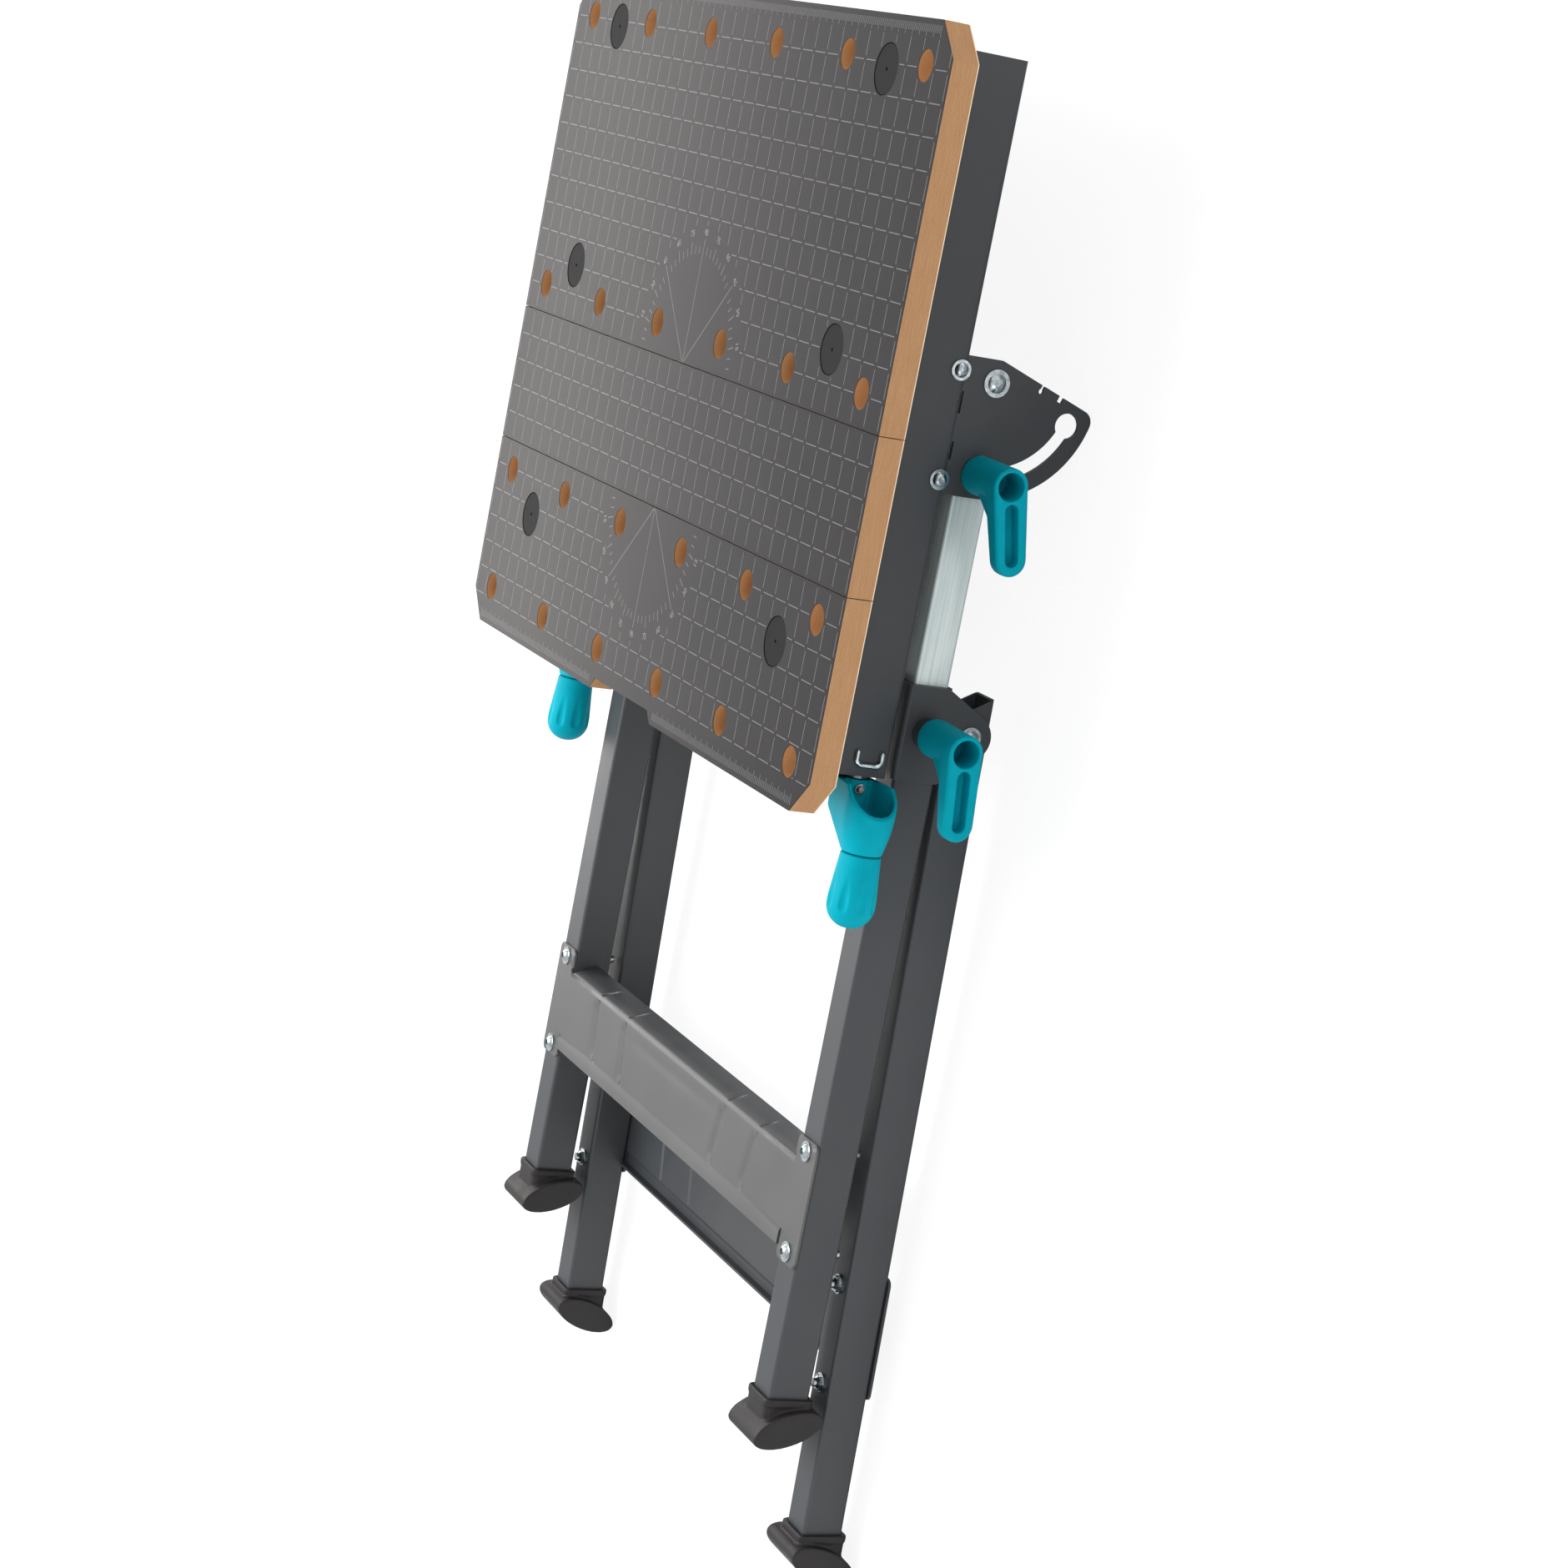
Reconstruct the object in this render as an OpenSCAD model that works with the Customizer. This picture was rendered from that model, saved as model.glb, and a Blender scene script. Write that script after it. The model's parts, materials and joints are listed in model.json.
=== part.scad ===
// Portable folding workbench: a vice table of three boards on two steel rails, carried by
// height adjustable masts on a pair of folding leg frames.
// The folded bench lies on its back with the table face up. x runs across the bench, y
// towards the rear end of the table and z up from the ground.
// Inside bench() the pieces are drawn with y towards the feet, counted from the seam behind
// the middle panel, and z as the depth behind the table face.

/* [Table] */
// Width of the table across the bench
table_w = 646; // [620:2:700]
// Thickness of the three boards
board_t = 18; // [16:1:22]
// Length of the rear jaw board
rear_board_l = 250; // [240:5:300]
// Length of the loose middle panel
panel_l = 100; // [80:5:120]
// Length of the front jaw board
front_board_l = 140; // [135:5:180]
// Leg of the cut at the four outer corners
corner_cut = 22.5; // [5:0.5:24]
// Clear seam between two boards
seam = 0.5; // [0.3:0.1:1]
// Diameter of the dog holes
dog_d = 20; // [16:0.5:22]
// Outer dog holes to the side of the table
dog_side = 35.5; // [28:0.5:40]
// Dog hole row to the outer end of its board
dog_end = 28.5; // [26:0.5:32]
// Dog hole row to the inner end of its board
dog_seam = 21; // [18:0.5:24]
// Width of the notch in the front edge
notch_w = 118; // [80:2:140]
// Depth of the notch in the front edge
notch_d = 8; // [4:0.5:12]
// Diameter of the caps over the board bolts
cap_d = 32; // [28:1:36]
// Thickness of the caps
cap_t = 3; // [2:0.5:4]

/* [Rails] */
// Rail side to the side of the table
rail_inset = 73; // [66:1:76]
// Depth of a rail
rail_h = 70; // [64:1:80]
// Sheet thickness of a rail
rail_t = 2; // [1.5:0.1:2.5]
// Width of the two flanges of a rail
rail_flange = 28; // [26:1:32]
// Rail to the rear end of the table
rail_rear = 12.5; // [8:0.5:16]
// Rail to the front end of the table
rail_front = 17.2; // [12:0.2:20]
// Length of the cross rail's profile along the table
cross_l = 46; // [40:2:60]
// Depth of the cross rail's profile
cross_h = 34; // [28:1:36]
// Cross rail to the rear end of the table
cross_rear = 96; // [80:2:110]

/* [Vice drive] */
// Travel of the front jaw
jaw_travel = 45; // [40:1:46]
// Length of a jaw carriage
carriage_l = 50; // [44:1:52]
// Diameter of a spindle
spindle_d = 14; // [12:0.5:16]
// Diameter of the two collars on a spindle
collar_d = 20; // [18.5:0.5:21]
// Depth of the spindle axis behind the table face
spindle_z = 72.7; // [71:0.1:73]
// Spindle axis to the outer side of the rail
spindle_in = 15; // [14:0.5:16]
// Length of a spindle bearing
bearing_l = 24; // [22:1:26]
// Wire diameter of the retaining clips
clip_wire = 3; // [2.5:0.1:3.2]

/* [Tilt plates] */
// Thickness of a tilt plate
plate_t = 2.5; // [2:0.1:3]
// Tilt pivot to the seam, towards the rear end of the table
pivot_up = 38; // [34:1:42]
// Radius of the clamp slot about the tilt pivot
slot_r = 59; // [57:0.5:60]
// Width of the clamp slot
slot_w = 9; // [8.6:0.2:9.6]
// Diameter of the round end of the clamp slot
slot_end_d = 16.4; // [14:0.2:18]
// Outer radius of a tilt plate about the pivot
plate_r = 74.4; // [73:0.2:78]
// Largest tilt of the table
tilt_max = 70.5; // [60:0.5:72]

/* [Legs] */
// Width of the square leg tubes
leg_w = 27.5; // [26:0.1:28]
// Depth of the square leg tubes
leg_d = 29.6; // [29:0.1:31]
// Wall of the leg tubes
leg_wall = 1.5; // [1.2:0.1:1.8]
// Seam to the head of the front legs at the lowest table height
head_y = 160; // [150:2:180]
// Length of a front leg tube
front_leg_l = 498; // [480:2:540]
// Rear leg tubes beyond the ends of the front leg tubes
rear_leg_over = 96.3; // [80:0.1:120]
// Mast shoes to the upper tread screws at the lowest table height
mast_clear = 9; // [6:1:60]
// Leaning of the rear legs in the folded bench
fold_lean = 1.37; // [0.8:0.01:1.6]
// Head of the front legs to the leg pivot
pivot_drop = 30.3; // [29:0.1:32]
// Leg pivot to the rear face of the front leg
pivot_back = 17.4; // [17.2:0.1:18]
// Sheet thickness of a head bracket
bracket_t = 2.3; // [2:0.1:2.5]
// Height of a head bracket
bracket_h = 63; // [60:1:70]

/* [Treads] */
// Sheet thickness of the treads
tread_t = 1.8; // [1.5:0.1:2]
// Height of a tread's flat ends
tread_end_h = 86; // [84:1:92]
// Distance between the two screws of a tread's end
tread_pitch = 70; // [64:1:72]
// Height of the front face between the legs
tread_face_h = 62; // [58:1:68]
// Depth of the top flange between the legs
tread_flange = 18; // [14:0.5:20]
// Middle of the front tread to the end of the front leg
front_tread_up = 143; // [120:1:150]
// Middle of the rear tread to the end of the rear leg
rear_tread_up = 149; // [130:1:160]

/* [Feet] */
// Length of a foot across the bench
foot_l = 46; // [42:1:50]
// Long half axis of a foot's round
foot_a = 25.5; // [23:0.5:25.5]
// Short half axis of a foot's round
foot_b = 11.2; // [10:0.2:12]
// Slope of a foot's sole against its leg
foot_slope = 20; // [16:1:24]
// Top of the collar to the middle of the round
foot_drop = 19.5; // [18:0.5:21]
// Wall of the foot's collar
foot_wall = 2.6; // [2:0.1:3]
// Depth of the leg tube in the collar
foot_socket = 10; // [8:0.5:12]

/* [Levers] */
// Radius of a clamp lever's hub
lever_r = 12.6; // [12:0.1:13]
// Length of a clamp lever's hub
lever_l = 47.5; // [45:0.5:50]
// Length of a clamp lever's arm
lever_arm = 47; // [42:1:50]
// Radius of the arm's round tip
lever_tip_r = 10.8; // [10:0.1:11.5]
// Thickness of the arm at its tip
lever_arm_t = 13; // [12:0.5:14]
// Leaning of a tilt lever's arm at rest
tilt_lever_lean = 13.5; // [5:0.5:16]
// Leaning of a height lever's arm at rest
height_lever_lean = 6.5; // [4:0.5:14]
// Length of the boss under a height lever
boss_l = 13.4; // [12:0.2:15]
// Diameter of the boss under a height lever
boss_d = 20; // [18:0.5:22]

/* [Cranks] */
// Distance between the spindle axis and the grip axis
crank_arm = 31; // [29:0.5:33]
// Radius of a crank's cup at its rim
cup_r = 17; // [16:0.5:17.5]
// Radius of a grip at its seam
seam_r = 13.2; // [12.5:0.1:14]
// Largest radius of a grip
grip_r = 15.8; // [15:0.1:17]
// Length of a crank's body along the spindle
crank_l = 43; // [40:0.5:46]
// Length of a grip
grip_l = 49; // [46:1:54]

/* [Fasteners] */
// Shank diameter of the pivot and clamp bolts
bolt_d = 8; // [7:0.2:8.4]
// Head diameter of the tilt pivot bolts
pivot_head_d = 18; // [16:0.5:19]
// Head diameter of the leg pivot bolts
leg_head_d = 15; // [14:0.5:17]
// Shank diameter of the screws
screw_d = 6; // [5:0.2:6.4]
// Head diameter of the tread screws
tread_head_d = 14; // [12:0.5:15]
// Head diameter of the tilt plate screws
plate_head_d = 13.4; // [12:0.2:14]

/* [Fits] */
// Radial clearance of a pin or bolt in its hole
fit = 0.08; // [0.05:0.01:0.1]
// Clearance of the masts in their guides
slide_fit = 0.15; // [0.1:0.05:0.25]
// Gap between faces that pass each other
run_gap = 0.3; // [0.25:0.05:0.4]

/* [Hidden] */

$fn = 48;
fine_fn = 96;
cut = 1;            // overrun of a cut past the face it opens

// Depths behind the table face
rail_z = board_t;
rail_back = rail_z + rail_h;
leg_gap = 7.6;
leg_z = rail_back + leg_gap;
mast_z = leg_z + leg_d / 2;
leg_back = leg_z + leg_d;
leg_pivot_z = leg_back + pivot_back;

// Distances from the centre plane
rail_x = table_w / 2 - rail_inset;
plate_x = rail_x - rail_t;
plate_in_x = plate_x - plate_t;
leg_side_gap = 2;
leg_x = plate_x - leg_side_gap;
leg_mid_x = leg_x - leg_w / 2;
leg_in_x = leg_x - leg_w;
guide_t = 0.8;
mast_gap = leg_wall + guide_t + slide_fit;
mast_w = leg_w - 2 * mast_gap;
mast_d = leg_d - 2 * mast_gap;
mast_x = leg_x - mast_gap;
mast_in_x = mast_x - mast_w;
mast_wall = 1.5;
bracket_x = leg_x + bracket_t;
spindle_x = rail_x - spindle_in;
bolt_in = 17;
bolt_x = rail_x - bolt_in;

// Distances along the bench from the seam
table_rear = -rear_board_l;
table_front = panel_l + front_board_l;
rail_top = table_rear + rail_rear;
rail_end = table_front - rail_front;
pivot_y = -pivot_up;
clamp_y = pivot_y + slot_r;
mast_over = 12;
mast_top = pivot_y - mast_over;
leg_pivot_y = head_y + pivot_drop;
front_leg_end = head_y + front_leg_l;
rear_leg_end = front_leg_end + rear_leg_over;
rear_leg_l = rear_leg_end - leg_pivot_y;
bearing_y = rail_end - bearing_l;
tread_y = front_leg_end - front_tread_up;
rear_tread_y = rear_leg_end - rear_tread_up;

// Bolt places along the table
bolt_rear = 34;
bolt_seam = 41;
jaw_bolt = 46;
rear_bolt_ys = [table_rear + bolt_rear, -bolt_seam];
front_bolt_y = panel_l + jaw_bolt;
rear_dog_ys = [table_rear + dog_end, -dog_seam];
front_dog_ys = [panel_l + dog_seam, table_front - dog_end];
dog_half_steps = [0.5, 1.5, 2.5];
dog_pitch = (table_w / 2 - dog_side) / max(dog_half_steps);
sides = [-1, 1];

// Small parts of the fasteners
screw_r = screw_d / 2;
bolt_r = bolt_d / 2;
head_h = 4.2;
flange_h = 1.2;
socket_share = 0.36;
socket_depth_share = 0.6;
nut_h = 5;
nut_af = 10;
bolt_nut_af = 13;
bolt_nut_h = 6.5;
washer_t = 1.4;
cap_sink = 0.3;
cap_fit = 0.4;
cap_stem_r = 4;
cap_bore_r = 8.5;
cap_pin_r = 1.1;
board_head_r = 7.2;
board_head_z = 8.2;

// The lowest point of a tilt plate lies on the ground when the folded bench lies on its back
plate_top = 14.7;                 // top edge above the tilt pivot
plate_slope = 19.7;               // slope of the rear edge
plate_kink = 2.2;                 // start of the slope behind the pivot
plate_nose_r = 8;                 // round between slope and outer arc
slope_gap = plate_top * cos(plate_slope) + plate_kink * sin(plate_slope);
nose_b = plate_nose_r - slope_gap;
nose_a = sqrt(pow(plate_r - plate_nose_r, 2) - pow(nose_b, 2));
nose_y = nose_a * sin(plate_slope) + nose_b * cos(plate_slope);
nose_z = nose_a * cos(plate_slope) - nose_b * sin(plate_slope);
lie_h = mast_z + nose_z + plate_nose_r;

// The middle of the folded length lies over the origin
foot_mid_y = rear_leg_end - foot_socket + foot_drop;
foot_turn = foot_slope - fold_lean;
foot_reach = sqrt(pow(foot_a * sin(foot_turn), 2) + pow(foot_b * cos(foot_turn), 2));
bench_low_y = leg_pivot_y + (foot_mid_y - leg_pivot_y) * cos(fold_lean) + foot_reach;
bench_mid_y = (table_rear + bench_low_y) / 2;

// Turns the drawing frame of the bench into the frame in which it lies on its back
module bench() translate([0, bench_mid_y, lie_h]) rotate([180, 0, 0]) children();

// Draws the right-hand piece, or its mirror image on the left
module on_side(s) { if (s > 0) children(); else mirror([1, 0, 0]) children(); }

// Extrudes a drawing of (y, z) along x, one of (x, z) along y
module along_x(h) rotate([90, 0, 90]) linear_extrude(h) children();
module along_y(h) translate([0, h, 0]) rotate([90, 0, 0]) linear_extrude(h) children();

// Turns a piece drawn along +z so that it points along +x, -x, +y or -z
module to_x() rotate([0, 90, 0]) children();
module to_in() rotate([0, -90, 0]) children();
module to_y() rotate([-90, 0, 0]) children();
module to_face() rotate([180, 0, 0]) children();

// A cylinder along x from x0 to x1
module rod_x(r, x0, x1) translate([x0, 0, 0]) to_x() cylinder(r = r, h = x1 - x0);

// A cylinder along y from y0 to y1
module rod_y(r, y0, y1) translate([0, y0, 0]) to_y() cylinder(r = r, h = y1 - y0);

module box(x0, x1, y0, y1, z0, z1)
  translate([x0, y0, z0]) cube([x1 - x0, y1 - y0, z1 - z0]);

// A domed screw with a flange and a six-sided socket, head along +z, seat at z = 0
module dome_screw(head_d, shank_d, shank_l) {
  head_r = head_d / 2;
  crown_share = 0.8;
  crown_r = head_r * crown_share;
  ball_r = (pow(crown_r, 2) + pow(head_h, 2)) / (2 * head_h);
  difference() {
    union() {
      cylinder(r = head_r, h = flange_h);
      intersection() {
        translate([0, 0, head_h - ball_r]) sphere(ball_r);
        cylinder(r = crown_r, h = head_h);
      }
      translate([0, 0, -shank_l]) cylinder(d = shank_d, h = shank_l);
    }
    translate([0, 0, head_h * (1 - socket_depth_share)])
      cylinder(r = head_r * socket_share, h = head_h, $fn = 6);
  }
}

// A nut with a flange towards z = 0 and a domed end
module dome_nut(af, h, hole_d) {
  dome_share = 0.55;
  difference() {
    union() {
      cylinder(r = af * dome_share + flange_h, h = flange_h);
      cylinder(r = af / 2 / cos(30), h = h * (1 - socket_share), $fn = 6);
      translate([0, 0, h * (1 - socket_share)])
        intersection() {
          cylinder(r = af / 2, h = h * socket_share);
          translate([0, 0, h * socket_share - af / 2]) sphere(af * dome_share);
        }
    }
    translate([0, 0, -cut]) cylinder(r = hole_d / 2 + fit, h = h + 2 * cut);
  }
}

// Table boards

module chamfered(y0, y1, rear_cut, front_cut) {
  w = table_w / 2;
  polygon([[-w + rear_cut, y0], [w - rear_cut, y0], [w, y0 + rear_cut], [w, y1 - front_cut],
    [w - front_cut, y1], [-w + front_cut, y1], [-w, y1 - front_cut], [-w, y0 + rear_cut]]);
}

module dog_holes(ys)
  for (s = sides, k = dog_half_steps, y = ys)
    translate([s * k * dog_pitch, y, -cut]) cylinder(d = dog_d, h = board_t + 2 * cut);

// Stepped hole of a board bolt: cap seat, head bore, shank hole
module bolt_seats(ys)
  for (s = sides, y = ys) translate([s * bolt_x, y, 0]) {
    translate([0, 0, -cut]) cylinder(r = cap_d / 2 + cap_fit, h = cut + cap_t + cap_sink);
    translate([0, 0, -cut]) cylinder(r = cap_bore_r, h = cut + board_head_z + head_h);
    translate([0, 0, -cut]) cylinder(r = screw_r + fit, h = board_t + 2 * cut);
  }

module rear_jaw_board() bench() color("#5c5b5f") difference() {
  linear_extrude(board_t) chamfered(table_rear, -seam / 2, corner_cut, 0);
  dog_holes(rear_dog_ys);
  bolt_seats(rear_bolt_ys);
}

peg_r = 4;
peg_l = 12;
peg_end = 24;
peg_sink = 9;
peg_ys = [peg_end, panel_l - peg_end];

module middle_panel() bench() color("#5c5b5f") difference() {
  linear_extrude(board_t) chamfered(seam / 2, panel_l - seam / 2, 0, 0);
  for (s = sides, y = peg_ys) translate([s * bolt_x, y, board_t - peg_sink])
    cylinder(r = peg_r + fit, h = peg_sink + cut);
}

module panel_pegs() bench() color("#2b2b2d")
  for (s = sides, y = peg_ys) translate([s * bolt_x, y, board_t - peg_sink]) {
    cylinder(r = peg_r, h = peg_sink + peg_l - peg_r);
    translate([0, 0, peg_sink + peg_l - peg_r]) sphere(peg_r);
  }

module front_jaw_board() bench() color("#5c5b5f") difference() {
  linear_extrude(board_t) difference() {
    chamfered(panel_l + seam / 2, table_front, 0, corner_cut);
    polygon([[-notch_w / 2, table_front + cut], [-notch_w / 2, table_front],
      [-notch_w / 2 + notch_d, table_front - notch_d],
      [notch_w / 2 - notch_d, table_front - notch_d],
      [notch_w / 2, table_front], [notch_w / 2, table_front + cut]]);
  }
  dog_holes(front_dog_ys);
  bolt_seats([front_bolt_y]);
}

module caps(ys) color("#3a3a3c")
  for (s = sides, y = ys) translate([s * bolt_x, y, cap_sink]) difference() {
    union() {
      cylinder(d = cap_d, h = cap_t);
      cylinder(r = cap_stem_r, h = board_head_z - cap_sink - run_gap);
    }
    translate([0, 0, -cut]) cylinder(r = cap_pin_r, h = cap_t);
  }

module rear_board_caps() bench() caps(rear_bolt_ys);
module front_board_caps() bench() caps([front_bolt_y]);

// Flat headed bolts that hold a board; the shank ends in a nut under the flange
module rear_board_bolts() bench() color("#b9c0c2")
  for (s = sides, y = rear_bolt_ys) translate([s * bolt_x, y, board_head_z]) {
    cylinder(r = board_head_r, h = head_h);
    cylinder(r = screw_r, h = board_t - board_head_z + rail_t + nut_h);
    translate([0, 0, board_t - board_head_z + rail_t])
      cylinder(r = nut_af / 2 / cos(30), h = nut_h, $fn = 6);
  }

module front_board_bolts() bench() color("#b9c0c2")
  for (s = sides) translate([s * bolt_x, front_bolt_y, board_head_z]) {
    cylinder(r = board_head_r, h = head_h);
    cylinder(r = screw_r, h = carriage_bolt_l);
  }

// Rails with the tilt plates

rail_bend = 4;
jaw_slot_end = 1.2;
lip_cut_rear = 18;
lip_cut_front = 3;
sight_w = 2.2;
sight_ls = [14.5, 12.2];
sight_ys = [-30, 2.3];
plate_screw_in = 5.2;
plate_screw_z = rail_back - plate_screw_in;
plate_screw_ys = [-42.9, 27.3];
clip_hole_in = 15.8;
clip_base_in = 7.3;
clip_y = rail_end - clip_hole_in;
clip_end_y = rail_end - clip_base_in;
clip_half = 8.75;
clip_bend = 4.5;

// Rounded C section of a rail, open towards the middle of the table
module rail_section() {
  x0 = rail_x - rail_flange;
  difference() {
    hull() {
      translate([x0, rail_z]) square([rail_t, rail_h]);
      for (z = [rail_z + rail_bend, rail_back - rail_bend])
        translate([rail_x - rail_bend, z]) circle(rail_bend);
    }
    translate([x0 - cut, rail_z + rail_t]) square([rail_flange + cut - rail_t, rail_h - 2 * rail_t]);
  }
}

module rail() difference() {
  translate([0, rail_top, 0]) along_y(rail_end - rail_top) rail_section();
  // cut for the tilt plate in the rear flange
  box(rail_x - rail_flange - cut, plate_x, pivot_y - lip_cut_rear, clamp_y + plate_low + lip_cut_front,
    rail_back - rail_t - run_gap, rail_back + cut);
  // slot that the jaw bolt travels in
  hull() for (y = [front_bolt_y, front_bolt_y + jaw_travel])
    translate([bolt_x, y, rail_z - cut]) cylinder(r = screw_r + jaw_slot_end, h = rail_t + 2 * cut);
  for (y = rear_bolt_ys) translate([bolt_x, y, rail_z - cut])
    cylinder(r = screw_r + fit, h = rail_t + 2 * cut);
  for (y = peg_ys) translate([bolt_x, y, rail_z - cut])
    cylinder(r = peg_r + run_gap, h = rail_t + 2 * cut);
  for (y = plate_screw_ys) translate([0, y, plate_screw_z]) rod_x(screw_r + fit, plate_in_x, rail_x + cut);
  for (i = [0, 1]) box(plate_x - cut, rail_x + cut, sight_ys[i], sight_ys[i] + sight_ls[i],
    rail_back - sight_w, rail_back + cut);
  for (d = [-clip_half, clip_half]) translate([0, clip_y, spindle_z + d])
    rod_x(clip_wire / 2 + fit, plate_x - cut, rail_x + cut);
}

module rail_left() bench() color("#3c3f43") on_side(-1) rail();
module rail_right() bench() color("#3c3f43") on_side(1) rail();

// Cross rail: a channel between the two rails, open towards the ground
cross_t = 1.8;
cross_drop = 3;
module cross_rail() bench() color("#3c3f43") {
  y0 = table_rear + cross_rear;
  z0 = rail_z + rail_t + cross_drop;
  difference() {
    box(-plate_x, plate_x, y0, y0 + cross_l, z0, z0 + cross_h);
    box(-plate_x - cut, plate_x + cut, y0 + cross_t, y0 + cross_l - cross_t, z0 + cross_t, z0 + cross_h + cut);
  }
}

plate_low = 15.4;        // clamp bolt to the front edge of a tilt plate
plate_root = 62;         // depth of the plate's front edge inside the rail
mark_zs = [34, 48.3];

// Outline of a tilt plate about the tilt pivot, (y, z): top edge, slope, nose and outer arc
function arc(c, r, a0, a1, n) = [for (i = [0:n]) let (a = a0 + (a1 - a0) * i / n)
  [c[0] + r * sin(a), c[1] + r * cos(a)]];
nose_turn = atan2(nose_y, nose_z);
bottom_turn = acos(0);
plate_outline = concat(
  [[-plate_top, plate_root - mast_z], [-plate_top, plate_kink]],
  arc([nose_y, nose_z], plate_nose_r, plate_slope - bottom_turn, nose_turn, 8),
  arc([0, 0], plate_r, nose_turn, bottom_turn, 30),
  [[plate_r, plate_root - mast_z]]);

module tilt_plate() translate([0, pivot_y, mast_z]) difference() {
  translate([plate_in_x, 0, 0]) along_x(plate_t) polygon(plate_outline);
  rod_x(bolt_r + fit, plate_in_x - cut, plate_x + cut);
  // clamp slot, from straight below the pivot to its round end
  translate([plate_in_x - cut, 0, 0]) rotate([90, 0, 90])
    rotate_extrude(angle = tilt_max, $fn = fine_fn)
      translate([slot_r - slot_w / 2, 0]) square([slot_w, plate_t + 2 * cut]);
  translate([0, slot_r, 0]) rod_x(slot_w / 2, plate_in_x - cut, plate_x + cut);
  translate([0, slot_r * cos(tilt_max), slot_r * sin(tilt_max)])
    rod_x(slot_end_d / 2, plate_in_x - cut, plate_x + cut);
  // screws to the rail and the two light slots at the bend
  translate([0, -pivot_y, -mast_z]) {
    for (y = plate_screw_ys) translate([0, y, plate_screw_z])
      rod_x(screw_r + fit, plate_in_x - cut, plate_x + cut);
    for (i = [0, 1]) box(plate_in_x - cut, plate_x + cut, sight_ys[i], sight_ys[i] + sight_ls[i],
      rail_back - sight_w, rail_back + sight_w / 2);
  }
  // two marks in the sloping edge
  for (i = [0, 1]) plate_mark(mark_zs[i], i);
}

// A narrow cut square to the sloping edge at depth z, with a round end on the first one
mark_ws = [2.2, 3.6];
mark_l = 4;
mark_end_r = 1.7;
module plate_mark(z, i) {
  y = -plate_top + (z - plate_kink) * tan(plate_slope);
  translate([plate_in_x - cut, y, z]) rotate([-plate_slope, 0, 0]) {
    translate([0, -cut, -mark_ws[i] / 2]) cube([plate_t + 2 * cut, mark_l + cut, mark_ws[i]]);
    if (i == 0) translate([0, mark_l, 0]) rod_x(mark_end_r, 0, plate_t + 2 * cut);
  }
}

module tilt_plate_left() bench() color("#45484c") on_side(-1) tilt_plate();
module tilt_plate_right() bench() color("#45484c") on_side(1) tilt_plate();

module tilt_plate_screws() bench() color("#b9c0c2")
  for (s = sides, y = plate_screw_ys) on_side(s) translate([rail_x, y, plate_screw_z])
    to_x() dome_screw(plate_head_d, screw_d, rail_t + plate_t + nut_h);

module tilt_plate_nuts() bench() color("#b9c0c2")
  for (s = sides, y = plate_screw_ys) on_side(s) translate([plate_in_x, y, plate_screw_z])
    to_in() difference() {
      cylinder(r = nut_af / 2 / cos(30), h = nut_h, $fn = 6);
      translate([0, 0, -cut]) cylinder(r = screw_r + fit, h = nut_h + 2 * cut);
    }

// Vice drive

clip_r = clip_wire / 2;
clip_in = 22;
groove_w = clip_wire + 2 * run_gap;
bearing_wall = 3;
bearing_top = spindle_z - collar_d / 2 - bearing_wall;
bearing_bore_r = collar_d / 2 + fit;

// A wire clip: base, bends and arms outside the rail, both ends through its wall
module spindle_clips() bench() color("#c3c9ca")
  for (s = sides) on_side(s) translate([rail_x + clip_r, 0, spindle_z]) {
    translate([0, clip_end_y, clip_bend - clip_half]) cylinder(r = clip_r, h = 2 * (clip_half - clip_bend));
    for (side = [0, 1]) mirror([0, 0, side]) {
      translate([0, clip_end_y - clip_bend, clip_half - clip_bend]) rotate([90, 0, 90])
        rotate_extrude(angle = 90) translate([clip_bend, 0]) circle(clip_r);
      translate([0, 0, clip_half]) {
        rod_y(clip_r, clip_y, clip_end_y - clip_bend);
        translate([0, clip_y, 0]) {
          sphere(clip_r);
          rod_x(clip_r, -clip_in, 0);
        }
      }
    }
  }

module spindle_bearings() bench() color("#2b2b2d")
  for (s = sides) on_side(s) difference() {
    box(plate_x - clip_in, plate_x - fit, bearing_y, rail_end, bearing_top, rail_back - rail_t - fit);
    translate([spindle_x, 0, spindle_z]) rod_y(bearing_bore_r, bearing_y - cut, rail_end + cut);
    for (d = [-clip_half, clip_half]) translate([0, clip_y, spindle_z + d])
      rod_x(clip_r + fit, plate_x - clip_in - cut, plate_x + cut);
  }

carriage_gap = run_gap;
carriage_set = 1.5;
carriage_y = panel_l + carriage_set;
carriage_bolt_l = 26;
carriage_in = 24;
carriage_wall = 4;
nut_block = 9;

// A slider in the rail: a box open towards the middle, with a block for the spindle thread
module jaw_carriage() {
  z0 = rail_z + rail_t + carriage_gap;
  z1 = rail_back - rail_t - carriage_gap;
  x0 = plate_x - carriage_in;
  x1 = plate_x - carriage_gap;
  y1 = carriage_y + carriage_l;
  difference() {
    box(x0, x1, carriage_y, y1, z0, z1);
    for (i = [0, 1]) {
      ya = i == 0 ? carriage_y + carriage_wall : carriage_y + carriage_l / 2 + carriage_wall / 2;
      yb = i == 0 ? carriage_y + carriage_l / 2 - carriage_wall / 2 : y1 - carriage_wall;
      box(x0 - cut, x1 - carriage_wall, ya, yb, z0 + carriage_bolt_l, spindle_z - nut_block);
    }
    translate([spindle_x, 0, spindle_z]) rod_y(spindle_d / 2 + fit, carriage_y - cut, y1 + cut);
    translate([bolt_x, front_bolt_y, z0 - cut]) cylinder(r = screw_r + fit, h = carriage_bolt_l + cut);
  }
}

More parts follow.
